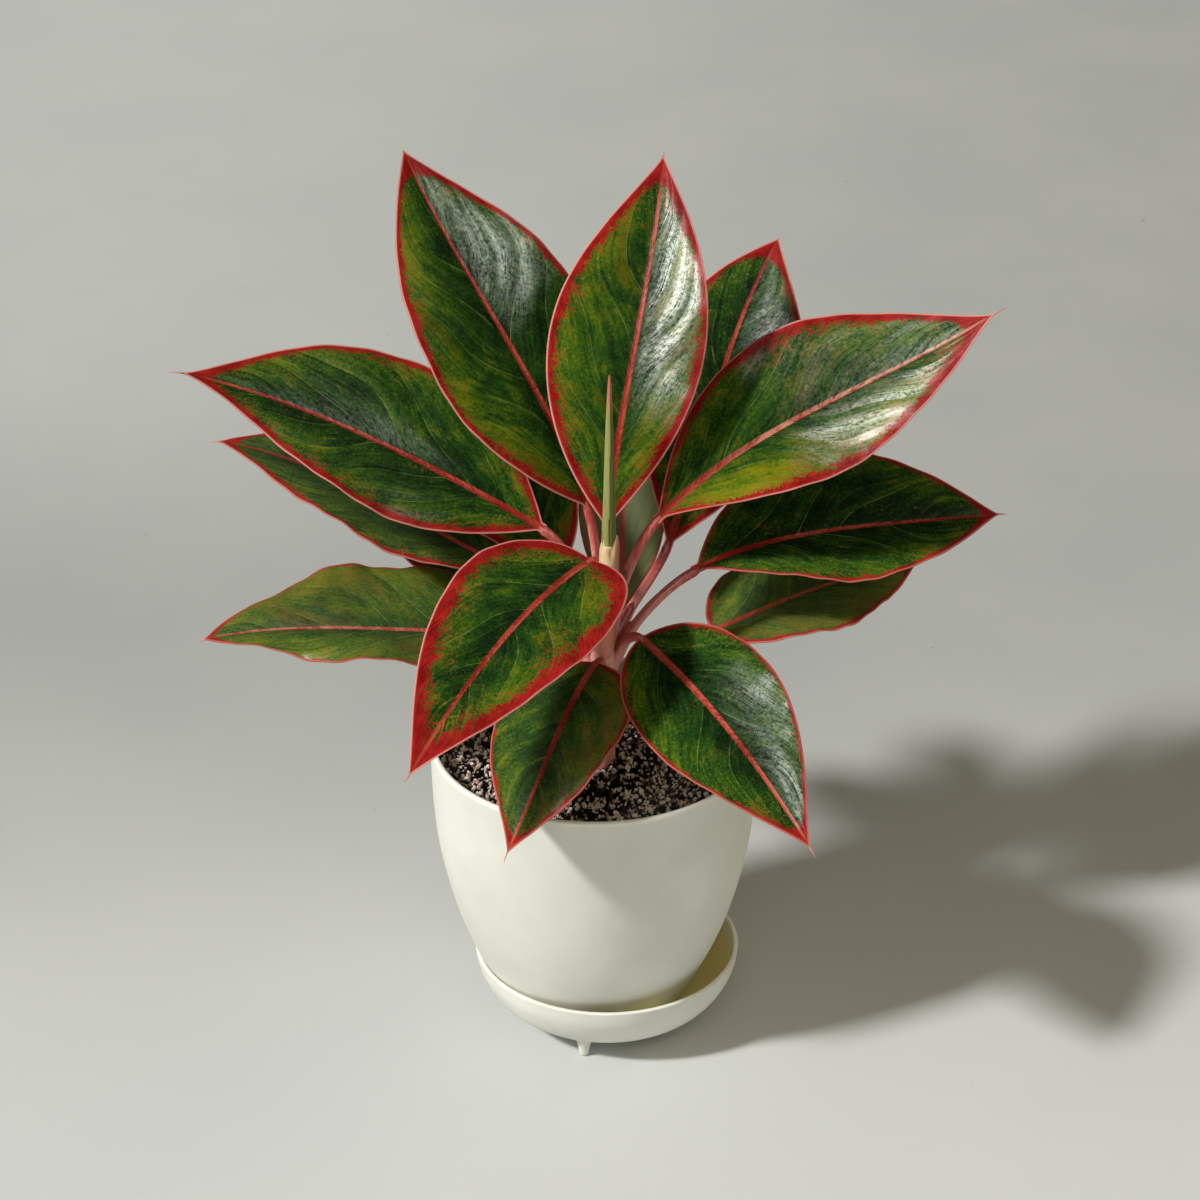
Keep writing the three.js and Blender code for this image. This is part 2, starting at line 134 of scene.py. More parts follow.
class Nodes:
    """The nodes of one material or node group. A colour is a socket or a screen tone."""

    def __init__(self, tree):
        self.tree = tree

    def put(self, socket, value):
        if isinstance(value, bpy.types.NodeSocket):
            self.tree.links.new(value, socket)
        else:
            socket.default_value = value

    def add(self, kind, inputs=None, **settings):
        node = self.tree.nodes.new(kind)
        for name, value in settings.items():
            setattr(node, name, value)
        for name, value in (inputs or {}).items():
            self.put(node.inputs[name], value)
        return node

    def dress(self, values):
        """Sets the sockets of the material's shader by name."""
        for name, value in values.items():
            self.put(self.tree.nodes["Principled BSDF"].inputs[name], value)

    def math(self, operation, *values):
        node = self.add("ShaderNodeMath", operation=operation)
        for index, value in enumerate(values):
            self.put(node.inputs[index], value)
        return node.outputs[0]

    def plus(self, first, second):
        return self.math("ADD", first, second)

    def minus(self, first, second):
        return self.math("SUBTRACT", first, second)

    def times(self, first, second):
        return self.math("MULTIPLY", first, second)

    def scaled(self, value, scale, start):
        """start plus scale times the value."""
        return self.math("MULTIPLY_ADD", value, scale, start)

    def rise(self, value, low, high, top=1.0):
        """A smooth step from 0 at low to top at high. low may be the larger."""
        node = self.add("ShaderNodeMapRange", interpolation_type="SMOOTHSTEP")
        for index, item in enumerate((value, low, high, 0.0, top)):
            self.put(node.inputs[index], item)
        return node.outputs[0]

    def stir(self, start, *parts):
        """start plus each pattern, taken about its middle, times its strength."""
        for pattern, strength in parts:
            start = self.scaled(self.minus(pattern, 0.5), strength, start)
        return start

    def mix(self, amount, first, second, blend="MIX"):
        node = self.add("ShaderNodeMix", data_type="RGBA", blend_type=blend)
        self.put(node.inputs[0], amount)
        for index, colour in ((6, first), (7, second)):
            self.put(node.inputs[index], tone(*colour) if isinstance(colour, tuple) else colour)
        return node.outputs[2]

    def over(self, colour, *coats):
        """The colour under one coat after another, each with its mask before it."""
        for mask, coat in coats:
            colour = self.mix(mask, colour, coat)
        return colour

    def ramp(self, value, stops):
        """A colour that passes through the stops, each a place from 0 to 1 and a tone."""
        node = self.add("ShaderNodeValToRGB", {"Fac": value})
        elements = node.color_ramp.elements
        elements[0].color = tone(*stops[0][1])
        elements[1].color = tone(*stops[-1][1])
        for at, shade in stops[1:-1]:
            elements.new(at).color = tone(*shade)
        return node.outputs["Color"]

    def noise(self, vector, scale, detail=2.0, roughness=0.5, twist=0.0):
        inputs = {"Vector": vector, "Scale": scale, "Detail": detail,
                  "Roughness": roughness, "Distortion": twist}
        return self.add("ShaderNodeTexNoise", inputs).outputs["Fac"]

    def join(self, x, y, z=0.0):
        return self.add("ShaderNodeCombineXYZ", {"X": x, "Y": y, "Z": z}).outputs[0]

    def split(self, vector):
        node = self.add("ShaderNodeSeparateXYZ", {"Vector": vector})
        return node.outputs[0], node.outputs[1], node.outputs[2]

    def carried(self, name):
        """The three numbers that a mesh carries at each point under this name."""
        return self.split(self.add("ShaderNodeAttribute", attribute_name=name).outputs["Vector"])

    def carried_one(self, name):
        """The one number that a mesh carries at each point under this name."""
        return self.add("ShaderNodeAttribute", attribute_name=name).outputs["Fac"]

    def object_place(self):
        return self.add("ShaderNodeTexCoord").outputs["Object"]

    def use(self, group, **inputs):
        node = self.add("ShaderNodeGroup", node_tree=group)
        for name, value in inputs.items():
            self.put(node.inputs[name.replace("_", " ").capitalize()], value)
        return node.outputs[0]

    def bump(self, height, strength, distance):
        return self.add("ShaderNodeBump", {"Height": height, "Strength": strength,
                                           "Distance": distance}).outputs["Normal"]


def new_group(name, inputs, output):
    """An empty shader node group, its Nodes, its input sockets by name and its result.

    inputs gives the usual value of each input, or None for a place.
    """
    tree = bpy.data.node_groups.new(name, "ShaderNodeTree")
    for label, usual in inputs.items():
        kind = "NodeSocketVector" if usual is None else "NodeSocketFloat"
        socket = tree.interface.new_socket(label, in_out="INPUT", socket_type=kind)
        if usual is not None:
            socket.default_value = usual
    tree.interface.new_socket(output, in_out="OUTPUT", socket_type="NodeSocketFloat")
    given = tree.nodes.new("NodeGroupInput").outputs
    result = tree.nodes.new("NodeGroupOutput").inputs[0]
    return tree, Nodes(tree), given, result


def mottle_group():
    """Soft patches: 0 to 1 where a noise at this scale passes from low to high."""
    tree, nodes, given, result = new_group(
        "soft_mottle", {"Vector": None, "Scale": 100.0, "Detail": 2.0, "Low": 0.35, "High": 0.65},
        "Mask")
    patches = nodes.noise(given["Vector"], given["Scale"], given["Detail"])
    nodes.put(result, nodes.rise(patches, given["Low"], given["High"]))
    return tree


def skin_group():
    """The height of a fine skin: shallow dimples with a finer grain on them."""
    tree, nodes, given, result = new_group(
        "fine_skin", {"Vector": None, "Scale": 400.0, "Grain": 0.3}, "Height")
    dimples = nodes.noise(given["Vector"], given["Scale"])
    grain = nodes.noise(given["Vector"], nodes.times(given["Scale"], 4.3))
    nodes.put(result, nodes.scaled(grain, given["Grain"], dimples))
    return tree


def line_group():
    """A thin line at each whole number of a count: 1 on the line, 0 past its half width."""
    tree, nodes, given, result = new_group(
        "thin_line", {"Count": 0.0, "Half width": 0.02}, "Mask")
    nearest = nodes.math("ROUND", given["Count"])
    away = nodes.math("ABSOLUTE", nodes.minus(given["Count"], nearest))
    nodes.put(result, nodes.rise(away, given["Half width"], 0.0))
    return tree


def fibre_group():
    """Fibres that run up a stem: a noise drawn out along the height."""
    tree, nodes, given, result = new_group(
        "stem_fibres", {"Vector": None, "Scale": 900.0, "Upright": 0.1}, "Mask")
    across, depth, height = nodes.split(given["Vector"])
    drawn_out = nodes.join(across, depth, nodes.times(height, given["Upright"]))
    nodes.put(result, nodes.noise(drawn_out, given["Scale"], 3.0, 0.6))
    return tree


MOTTLE = mottle_group()
SKIN = skin_group()
LINE = line_group()
FIBRES = fibre_group()


def new_finish(name):
    material = bpy.data.materials.new(name)
    material.use_nodes = True
    return material, Nodes(material.node_tree)


# ---- finishes ---------------------------------------------------------------------------

# Stops of the leaf green: a place from 0 to 1 and a screen tone.
LEAF_GREENS = [(0.00, (10, 22, 12)), (0.25, (23, 45, 18)), (0.42, (38, 70, 22)),
               (0.56, (66, 94, 20)), (0.70, (102, 114, 20)), (0.85, (136, 128, 24)),
               (1.00, (160, 142, 40))]
# Stops of the potting mix, from wet peat to white grit.
GRANULE_SHADES = [(0.0, (11, 8, 7)), (0.42, (36, 27, 23)), (0.54, (118, 92, 79)),
                  (0.66, (222, 194, 178)), (0.84, (250, 238, 226)), (1.0, (255, 251, 246))]


def leaf_patterns(nodes):
    """What a blade's points carry, and the patterns that its colours are made of.

    blade_place carries how pale the rib is, part of the length, millimetres from the margin.
    vein_flow carries the count of side veins, millimetres from the rib, and the share of the
    underside's colour: 1 below, and a little on the upper side of the milky leaves, where it is
    partly a painted grey sheen.
    leaf_tone carries the leaf's own number, the width of its red margin, how yellow it is.
    leaf_wax is how much of the wax on a place shines.
    """
    blush, part, margin = nodes.carried("blade_place")
    veins, from_rib, under = nodes.carried("vein_flow")
    own, red_width, yellow = nodes.carried("leaf_tone")
    place = nodes.object_place()

    def flow(over, along, detail, roughness=0.6, twist=0.0):
        """A noise that runs with the side veins."""
        way = nodes.join(nodes.times(veins, over), nodes.times(from_rib, along), own)
        return nodes.noise(way, 1.0, detail, roughness, twist)

    return SimpleNamespace(
        blush=blush, part=part, margin=margin, veins=veins, from_rib=from_rib, under=under,
        red_width=red_width, yellow=yellow, wax=nodes.carried_one("leaf_wax"), place=place,
        broad=nodes.noise(place, 30.0), patches=nodes.noise(place, 110.0, 4.0, 0.6),
        grain=nodes.noise(place, 760.0, 3.0, 0.6), streaks=flow(3.4, 0.07, 4.0, 0.62),
        flecks=flow(9.0, 0.18, 3.0, 0.62, 0.5), fine=flow(26.0, 0.42, 3.0),
        wrinkle=flow(15.0, 0.30, 2.0, 0.5, 0.8))


def leaf_green(nodes, leaf):
    """Deep by the rib, warmer to the margin, bronzed in places and freckled all over, with painted
    shade and light across the swells between the side veins.
    """
    green = nodes.stir(nodes.scaled(leaf.yellow, 0.21, 0.30), (leaf.streaks, 0.60),
                       (leaf.patches, 0.50), (leaf.flecks, 0.50), (leaf.grain, 0.45))
    green = nodes.plus(green, nodes.rise(leaf.margin, 19.0, 3.0, 0.15))
    green = nodes.minus(green, nodes.rise(leaf.from_rib, 11.0, 2.0, 0.10))
    # Painted shade just past each side vein and painted light just before the next, for the swells
    # between them.
    past_vein = nodes.math("FRACT", leaf.veins)
    green = nodes.minus(green, nodes.rise(past_vein, 0.34, 0.02, 0.05))
    green = nodes.plus(green, nodes.rise(past_vein, 0.66, 0.98, 0.04))
    bronze = nodes.stir(nodes.rise(leaf.yellow, -0.2, 1.2), (leaf.streaks, 1.2),
                        (leaf.flecks, 1.0), (leaf.broad, 1.4))
    specks = nodes.use(MOTTLE, vector=leaf.place, scale=1500.0, detail=1.0, low=0.62, high=0.72)
    freckled = nodes.plus(nodes.rise(leaf.margin, 18.0, 3.0, 0.34), 0.10)
    return nodes.over(nodes.ramp(green, LEAF_GREENS),
                      (nodes.rise(bronze, 0.78, 1.22, 0.56), (84, 56, 14)),
                      (nodes.times(specks, freckled), (150, 158, 84)))


def leaf_crimson(nodes, leaf, green):
    """Rust flecks gather near the margin, and crimson breaks up where it meets the green.

    Gives the colour and the mask of the crimson.
    """
    band = nodes.times(leaf.red_width, nodes.scaled(leaf.broad, 2.8, 0.10))
    share = nodes.math("DIVIDE", leaf.margin, nodes.math("MAXIMUM", band, 0.7))
    rust = nodes.stir(nodes.rise(share, 3.6, 0.8, 0.42), (leaf.fine, 1.3), (leaf.grain, 2.0),
                      (leaf.patches, 1.2))
    rusty = nodes.mix(nodes.rise(leaf.streaks, 0.42, 0.58), (128, 44, 30), (118, 100, 30))
    red = nodes.stir(nodes.minus(1.0, share), (leaf.fine, 1.8), (leaf.grain, 2.4),
                     (leaf.streaks, 1.6))
    red = nodes.plus(red, nodes.rise(leaf.part, 0.89, 0.98, 2.0))
    red = nodes.rise(red, -0.12, 0.12)
    depth = nodes.rise(nodes.stir(leaf.fine, (leaf.patches, 1.0)), 0.25, 0.75)
    crimson = nodes.over(nodes.mix(depth, (118, 17, 18), (166, 38, 34)),
                         (nodes.rise(leaf.margin, 1.6, 0.4, 0.35), (188, 56, 44)))
    return nodes.over(green, (nodes.rise(rust, 0.36, 0.56, 0.75), rusty), (red, crimson)), red


def leaf_lines(nodes, leaf):
    """The masks of the side veins and of the rib."""
    vein = nodes.use(LINE, count=leaf.veins, half_width=0.017)
    vein = nodes.times(vein, nodes.rise(leaf.margin, 3.0, 10.0))
    vein = nodes.times(vein, nodes.rise(leaf.patches, 0.34, 0.60, 0.62))
    width = nodes.scaled(leaf.part, -1.20, 1.85)
    rib = nodes.rise(leaf.from_rib, width, nodes.times(width, 0.6))
    return vein, nodes.times(rib, nodes.rise(leaf.part, 1.0, 0.93))


def rib_colour(nodes, leaf):
    """Brick red, which turns pale pink along the rib of the leaves that blush."""
    brick = nodes.rise(nodes.stir(leaf.fine, (leaf.broad, 1.0)), 0.35, 0.7)
    blush = nodes.times(leaf.blush, nodes.rise(leaf.part, 0.05, 0.45))
    worn = nodes.rise(nodes.stir(leaf.fine, (leaf.patches, 1.5)), 0.20, 0.75)
    return nodes.over(nodes.mix(brick, (134, 34, 28), (188, 84, 68)),
                      (nodes.times(blush, worn), (204, 152, 126)))


def leaf_finish():
    """Dark green that warms towards a ragged crimson margin, with a red rib and pale veins."""
    material, nodes = new_finish("red_edged_leaf")
    leaf = leaf_patterns(nodes)
    vein, rib = leaf_lines(nodes, leaf)
    upper, red = leaf_crimson(nodes, leaf, leaf_green(nodes, leaf))
    rim = nodes.times(nodes.rise(leaf.margin, 0.78, 0.34, 0.66),
                      nodes.scaled(nodes.rise(leaf.red_width, 0.7, 2.0), 0.6, 0.4))
    upper = nodes.over(upper, (vein, (132, 152, 84)), (rib, rib_colour(nodes, leaf)),
                       (rim, (232, 172, 158)))
    below = nodes.mix(nodes.rise(leaf.streaks, 0.2, 0.8), (118, 128, 96), (140, 146, 110))
    below = nodes.over(below, (nodes.times(red, 0.8), (170, 66, 60)),
                       (nodes.times(vein, 0.8), (186, 170, 140)), (rib, (190, 100, 92)))
    # The wax shines in broken streaks, and hardly on the crimson.
    worn = nodes.stir(nodes.scaled(vein, -0.5, 0.5), (leaf.fine, 1.7), (leaf.grain, 1.4),
                      (leaf.streaks, 1.1))
    worn = nodes.times(nodes.rise(worn, 0.0, 1.0), nodes.scaled(red, -0.8, 1.0))
    height = nodes.stir(nodes.times(leaf.streaks, 1.2), (leaf.fine, 1.1), (leaf.grain, 1.1),
                        (leaf.wrinkle, 1.3))
    nodes.dress({
        "Base Color": nodes.mix(leaf.under, upper, below),
        "Roughness": nodes.stir(nodes.scaled(leaf.under, 0.22, 0.22), (leaf.fine, 0.26),
                                (leaf.patches, 0.16), (leaf.grain, 0.16)),
        "Specular IOR Level": 0.0,
        "Coat Weight": nodes.times(worn, leaf.wax),
        "Coat Roughness": 0.32,
        "Coat IOR": 1.5,
        "Normal": nodes.bump(nodes.scaled(vein, -0.8, height), 0.30, 0.0003),
    })
    return material


def stalk_finish():
    """Pink stalks, paler on the cane, red near the blades and dark on the sheaths, with painted
    shade down the young sheath's right side.

    stalk_place carries the place in STEM_KINDS, the part of the length, and 0 to 1 round to
    the side that faces the blade.
    """
    material, nodes = new_finish("pink_stalk")
    kind, part, facing = nodes.carried("stalk_place")
    place = nodes.object_place()
    across, _, height = nodes.split(place)
    fibres = nodes.use(FIBRES, vector=place, scale=900.0, upright=0.12)
    scars = nodes.use(LINE, count=nodes.scaled(part, CANE.rings, 0.5), half_width=0.08)
    cane = nodes.over(nodes.mix(fibres, (242, 156, 146), (250, 190, 176)),
                      (nodes.times(scars, 0.4), (186, 104, 92)),
                      (nodes.rise(height, 0.1245, 0.1185, 0.55), (150, 98, 78)))
    stalk = nodes.over(nodes.mix(nodes.rise(part, 0.50, 1.0), (220, 146, 136), (180, 66, 58)),
                       (nodes.rise(fibres, 0.42, 0.72, 0.6), (226, 168, 154)),
                       (nodes.rise(facing, 0.55, 0.98, 0.55), (160, 56, 52)))
    sheath = nodes.over(nodes.mix(nodes.rise(fibres, 0.3, 0.7), (136, 44, 42), (188, 88, 78)),
                        (nodes.rise(part, 0.90, 1.0), (110, 66, 46)))
    young = nodes.over(nodes.mix(nodes.rise(part, 0.35, 0.9), (236, 154, 138), (226, 204, 160)),
                       # Painted shade: the young sheath darkens towards its right side, away from
                       # the key light.
                       (nodes.rise(across, 0.0050, 0.0095, 0.9), (186, 118, 92)),
                       (nodes.rise(fibres, 0.50, 0.72, 0.35), (176, 128, 92)))
    spots = nodes.use(MOTTLE, vector=place, scale=700.0, detail=2.0, low=0.64, high=0.74)
    nodes.dress({
        "Base Color": nodes.over(cane, (nodes.rise(kind, 0.0, 1.0), stalk),
                                 (nodes.rise(kind, 1.0, 2.0), sheath),
                                 (nodes.rise(kind, 2.0, 3.0), young),
                                 (nodes.times(spots, 0.3), (150, 84, 64))),
        "Roughness": nodes.scaled(fibres, 0.2, 0.34),
        "Specular IOR Level": 0.12,
        "Subsurface Weight": 0.15,
        "Subsurface Radius": (1.0, 0.35, 0.25),
        "Subsurface Scale": 0.003,
        "Normal": nodes.bump(fibres, 0.35, 0.0003),
    })
    return material


def spear_finish():
    """The rolled young leaf: yellow-green, olive in its seam and pink at its tip. The olive
    spreads past the seam over the right side, partly as painted shade.

    spear_place carries the nearness of the seam and the part of the length.
    """
    material, nodes = new_finish("young_leaf")
    seam, part, _ = nodes.carried("spear_place")
    fibres = nodes.use(FIBRES, vector=nodes.object_place(), scale=1100.0, upright=0.08)
    nodes.dress({
        "Base Color": nodes.over(nodes.mix(fibres, (126, 130, 70), (176, 174, 112)),
                                 # Olive at the seam, fading across the right side past it: the
                                 # seam's own colour and painted shade.
                                 (nodes.rise(seam, 0.22, 0.80, 0.85), (78, 84, 30)),
                                 (nodes.rise(part, 0.72, 0.98), (196, 110, 92))),
        "Roughness": nodes.scaled(fibres, 0.2, 0.34),
        "Specular IOR Level": 0.12,
        "Normal": nodes.bump(fibres, 0.4, 0.0003),
    })
    return material


def cream_finish():
    """Satin cream pot ware, a little cloudy, with faint dust, a painted highlight along the pot's
    lip, and a yellow water stain in the saucer that is partly painted warm bounce light.

    inner_face is 1 on the inside of the ware.
    """
    material, nodes = new_finish("cream_pot")
    place = nodes.object_place()
    _, _, height = nodes.split(place)
    inner = nodes.carried_one("inner_face")
    clouds = nodes.use(MOTTLE, vector=place, scale=26.0, detail=4.0, low=0.35, high=0.68)
    dust = nodes.use(MOTTLE, vector=place, scale=1500.0, detail=1.0, low=0.74, high=0.80)
    nodes.dress({
        "Base Color": nodes.over(
            nodes.mix(clouds, (221, 221, 212), (230, 231, 223)),
            # Painted highlight: the top of the pot's lip is lighter, as if lit from above.
            (nodes.rise(height, 0.1256, 0.1268, 0.8), (242, 241, 232)),
            # A yellow water stain on the saucer's inner floor, made bright and warm enough to
            # paint the warm bounce light there too.
            (nodes.times(nodes.rise(height, 0.034, 0.018, 0.85), inner), (238, 222, 136)),
            (nodes.times(dust, 0.25), (176, 166, 146))),
        "Roughness": nodes.scaled(clouds, 0.08, 0.46),
        "Specular IOR Level": 0.08,
        "Normal": nodes.bump(nodes.use(SKIN, vector=place, scale=420.0, grain=0.35), 0.10, 0.0002),
    })
    return material


def granule_finish():
    """Bark, peat and grit: each granule has its own shade in granule_shade."""
    material, nodes = new_finish("potting_mix")
    grain = nodes.use(SKIN, vector=nodes.object_place(), scale=1400.0, grain=0.6)
    colour = nodes.ramp(nodes.carried_one("granule_shade"), GRANULE_SHADES)
    pits = nodes.rise(grain, 0.45, 0.95, 0.35)
    nodes.dress({
        "Base Color": nodes.mix(pits, colour, (90, 74, 66), "MULTIPLY"),
        "Roughness": nodes.scaled(grain, 0.2, 0.6),
        "Specular IOR Level": 0.1,
        "Normal": nodes.bump(grain, 0.6, 0.0004),
    })
    return material


def floor_finish():
    """A pale studio floor with painted shade: darker to the right, darkest in a band behind the
    pot and greyer at the back, with a few specks of dust.
    """
    material, nodes = new_finish("studio_floor")
    place = nodes.object_place()
    across, depth, _ = nodes.split(place)
    right = nodes.rise(across, -0.35, 0.45)
    # Painted shade: the near tone darkens to the right, the band behind the pot is darkest and the
    # back is greyer, where less light falls.
    near = nodes.mix(right, (210, 213, 212), (201, 204, 204))
    dip_shade = nodes.mix(right, (167, 170, 169), (166, 169, 169))
    far = nodes.mix(right, (188, 191, 190), (158, 161, 161))
    clouds = nodes.use(MOTTLE, vector=place, scale=9.0, detail=4.0, low=0.30, high=0.70)
    specks = nodes.use(MOTTLE, vector=place, scale=130.0, detail=1.0, low=0.80, high=0.84)
    nodes.dress({
        "Base Color": nodes.over(near, (nodes.rise(depth, -0.16, 0.36), dip_shade),
                                 (nodes.rise(depth, 0.30, 0.62), far),
                                 (nodes.times(clouds, 0.05), (240, 240, 232)),
                                 (nodes.times(specks, 0.4), (120, 112, 96))),
        "Roughness": 0.75,
        "Specular IOR Level": 0.0,
    })
    return material


# ---- meshes -----------------------------------------------------------------------------

def unit(vectors):
    return vectors / np.linalg.norm(vectors, axis=-1, keepdims=True)


def fade(value, low, high):
    """A smooth step from 0 at low to 1 at high."""
    part = np.clip((value - low) / (high - low), 0, 1)
    return part * part * (3 - 2 * part)


def bell(value, width):
    return np.exp(-(value / width) ** 2)


def side_by_side(*values):
    """One row for each point, from values that are numbers or spread over the same grid."""
    return np.stack(np.broadcast_arrays(*values), -1).reshape(-1, len(values))


def grid_faces(rows, columns, start=0, around=False, flip=False):
    """Squares between points that are numbered row by row."""
    last = columns if around else columns - 1
    row, column = np.meshgrid(np.arange(rows - 1), np.arange(last), indexing="ij")
    here = start + row * columns + column
    beside = start + row * columns + (column + 1) % columns
    squares = np.stack([here, beside, beside + columns, here + columns], -1).reshape(-1, 4)
    return (squares[:, ::-1] if flip else squares).tolist()


def sheet_faces(rows, columns):
    """Both sides of a thin sheet, and the narrow faces that join them all round."""
    under = rows * columns
    at = np.arange(under).reshape(rows, columns)
    round_it = np.concatenate([at[0, :-1], at[:-1, -1], at[-1, :0:-1], at[:0:-1, 0]]).tolist()
    faces = grid_faces(rows, columns) + grid_faces(rows, columns, under, flip=True)
    for here, after in zip(round_it, round_it[1:] + round_it[:1]):
        faces.append([here, under + here, under + after, after])
    return faces


def stem(path, widths, facing, sides, shape=None):
    """A closed stem along a path. facing is the way that angle 0 of a ring looks.

    Gives the points, the faces, and at each point the part of the length and 0 to 1 round to
    the side that faces that way.
    """
    steps = len(path)
    along = unit(np.gradient(path, axis=0))
    first = unit(facing - along * np.sum(facing * along, -1, keepdims=True))
    second = np.cross(along, first)
    angle = np.linspace(0, 2 * math.pi, sides, endpoint=False)
    reach = np.ones((steps, sides)) if shape is None else shape(angle, steps)
    reach = reach * np.asarray(widths)[:, None]
    ring = (first[:, None] * (np.cos(angle) * reach)[..., None]
            + second[:, None] * (np.sin(angle) * reach)[..., None])
    points = (path[:, None] + ring).reshape(-1, 3)
    faces = grid_faces(steps, sides, around=True)
    faces.append(list(range(sides))[::-1])
    faces.append(list(range((steps - 1) * sides, steps * sides)))
    part = np.repeat(np.linspace(0, 1, steps), sides)
    return points, faces, part, np.tile((1 + np.cos(angle)) / 2, steps)


def smooth_profile(knots, count):
    """Points on the rounded line through the knots, evenly spread over the spans."""
    knots = np.asarray(knots, float)
    last = len(knots) - 1
    line = []
    for step in range(count + 1):
        place = last * step / count
        span = min(int(place), last - 1)
        part = place - span
        before, here = knots[max(span - 1, 0)], knots[span]
        after, beyond = knots[span + 1], knots[min(span + 2, last)]
        leave, arrive = (after - before) / 2, (beyond - here) / 2
        line.append((2 * here - 2 * after + leave + arrive) * part ** 3
                    + (-3 * here + 3 * after - 2 * leave - arrive) * part ** 2
                    + leave * part + here)
    return np.array(line)


def turned(profile, sides, centre=(0.0, 0.0)):
    """Points and faces of a profile of [radius, height] turned about an upright axis."""
    profile = np.asarray(profile, float)
    angle = np.linspace(0, 2 * math.pi, sides, endpoint=False)
    radius, height = profile[:, 0:1], profile[:, 1:2]
    points = np.stack([centre[0] + radius * np.cos(angle), centre[1] + radius * np.sin(angle),
                       np.broadcast_to(height, (len(profile), sides))], -1)
    return points.reshape(-1, 3), grid_faces(len(profile), sides, around=True)


def bezier(knots, parts):
    """Points on the curve that the knots bend, three or four of them."""
    knots = [np.asarray(knot, float) for knot in knots]
    parts = np.asarray(parts)[:, None]
    last = len(knots) - 1
    return sum(math.comb(last, index) * (1 - parts) ** (last - index) * parts ** index * knot
               for index, knot in enumerate(knots))


def even_steps(path, count):
    """The same line with its points an equal way apart."""
    run = np.concatenate([[0], np.cumsum(np.linalg.norm(np.diff(path, axis=0), axis=1))])
    marks = np.linspace(0, run[-1], count)
    return np.stack([np.interp(marks, run, path[:, axis]) for axis in range(3)], -1)


def make_piece(name, points, faces, material, carried=None, sharp=None):
    """A mesh object from points in millimetres, with the values that its points carry."""
    mesh = bpy.data.meshes.new(name)
    mesh.from_pydata((np.asarray(points) * MM).tolist(), [], faces)
    for label, values in (carried or {}).items():
        values = np.asarray(values, np.float32)
        kind, field = ("FLOAT", "value") if values.ndim == 1 else ("FLOAT_VECTOR", "vector")
        mesh.attributes.new(label, kind, "POINT").data.foreach_set(field, values.ravel())
    mesh.materials.append(material)
    mesh.shade_smooth()
    if sharp is not None:
        mesh.set_sharp_from_angle(angle=math.radians(sharp))
    mesh.update()
    piece = bpy.data.objects.new(name, mesh)
    bpy.context.scene.collection.objects.link(piece)
    return piece


class Bundle:
    """Several closed bodies gathered into one mesh, with what their points carry."""

    def __init__(self):
        self.points = []
        self.faces = []
        self.carried = {}
        self.count = 0

    def add(self, points, faces, **carried):
        self.faces += [[self.count + corner for corner in face] for face in faces]
        self.points.append(points)
        for label, values in carried.items():
            self.carried.setdefault(label, []).append(values)
        self.count += len(points)

    def piece(self, name, material, sharp=None):
        carried = {label: np.concatenate(values) for label, values in self.carried.items()}
        return make_piece(name, np.concatenate(self.points), self.faces, material, carried, sharp)


def close_poles(piece):
    """Joins the points that meet at a turned body's axis."""
    sheet = bmesh.new()
    sheet.from_mesh(piece.data)
    bmesh.ops.remove_doubles(sheet, verts=sheet.verts, dist=1e-6)
    sheet.to_mesh(piece.data)
    sheet.free()


def settle(piece):
    """Turns what the piece's modifiers make into its plain mesh."""
    view = bpy.context.evaluated_depsgraph_get()
    mesh = bpy.data.meshes.new_from_object(piece.evaluated_get(view))
    piece.modifiers.clear()
    piece.data = mesh


def belongs(piece, slot, *nodes):
    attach(piece, "root")
    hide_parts(*nodes)


# ---- pot and saucer ---------------------------------------------------------------------

# outside is the profile of the outer wall, from the foot to the rim: radius and height.
SAUCER = SimpleNamespace(
    centre=(5.2, 1.2), rim_radius=53.4, rim_height=30.0, bottom=6.0, floor=1.9, wall=1.9,
    inside_foot=36.0, sharp=50, outside=[(34, 6), (41, 8.4), (47.5, 14.5), (52, 23), (53.4, 30)])
POT = SimpleNamespace(
    centre=(0.0, 0.0), rim_radius=65.0, rim_height=127.0, bottom=8.2, floor=2.6, wall=2.2,
    inside_foot=29.0, sharp=40,
    outside=[(30, 8.2), (36.5, 12.5), (45.6, 29), (54.5, 51), (61.2, 77), (64, 100), (65, 127)])
DRAINS = SimpleNamespace(radius=4.0, circle=15.0, count=4, first=45.0, sides=32, spare=1.0)
# A peg's profile from its foot up: a rounded side, then a flat top inside the bowl's wall.
PEGS = SimpleNamespace(
    circle=38.0, count=3, first=256.0, sides=40, sharp=60, steps=32, sunk=0.6,
    rounded=[(0, 0), (1.0, 0.05), (1.6, 0.35), (1.95, 1.0), (2.15, 2.4), (2.5, 4.4), (3.0, 5.8),
             (3.9, 6.9), (5.4, 7.6)],
    flat_top=[(5.4, 7.8), (0, 7.8)], rise_from=4.5, rise_over=3.0, outward_from=34.0, slope=0.32,
    most_rise=2.5)
WARE = SimpleNamespace(sides=160, wall_steps=64, lip_steps=8, lip_bulge=0.36, corner_steps=8,
                       corner_rise=1.2, corner_middle=(2.4, 0.45), corner_foot=2.0)


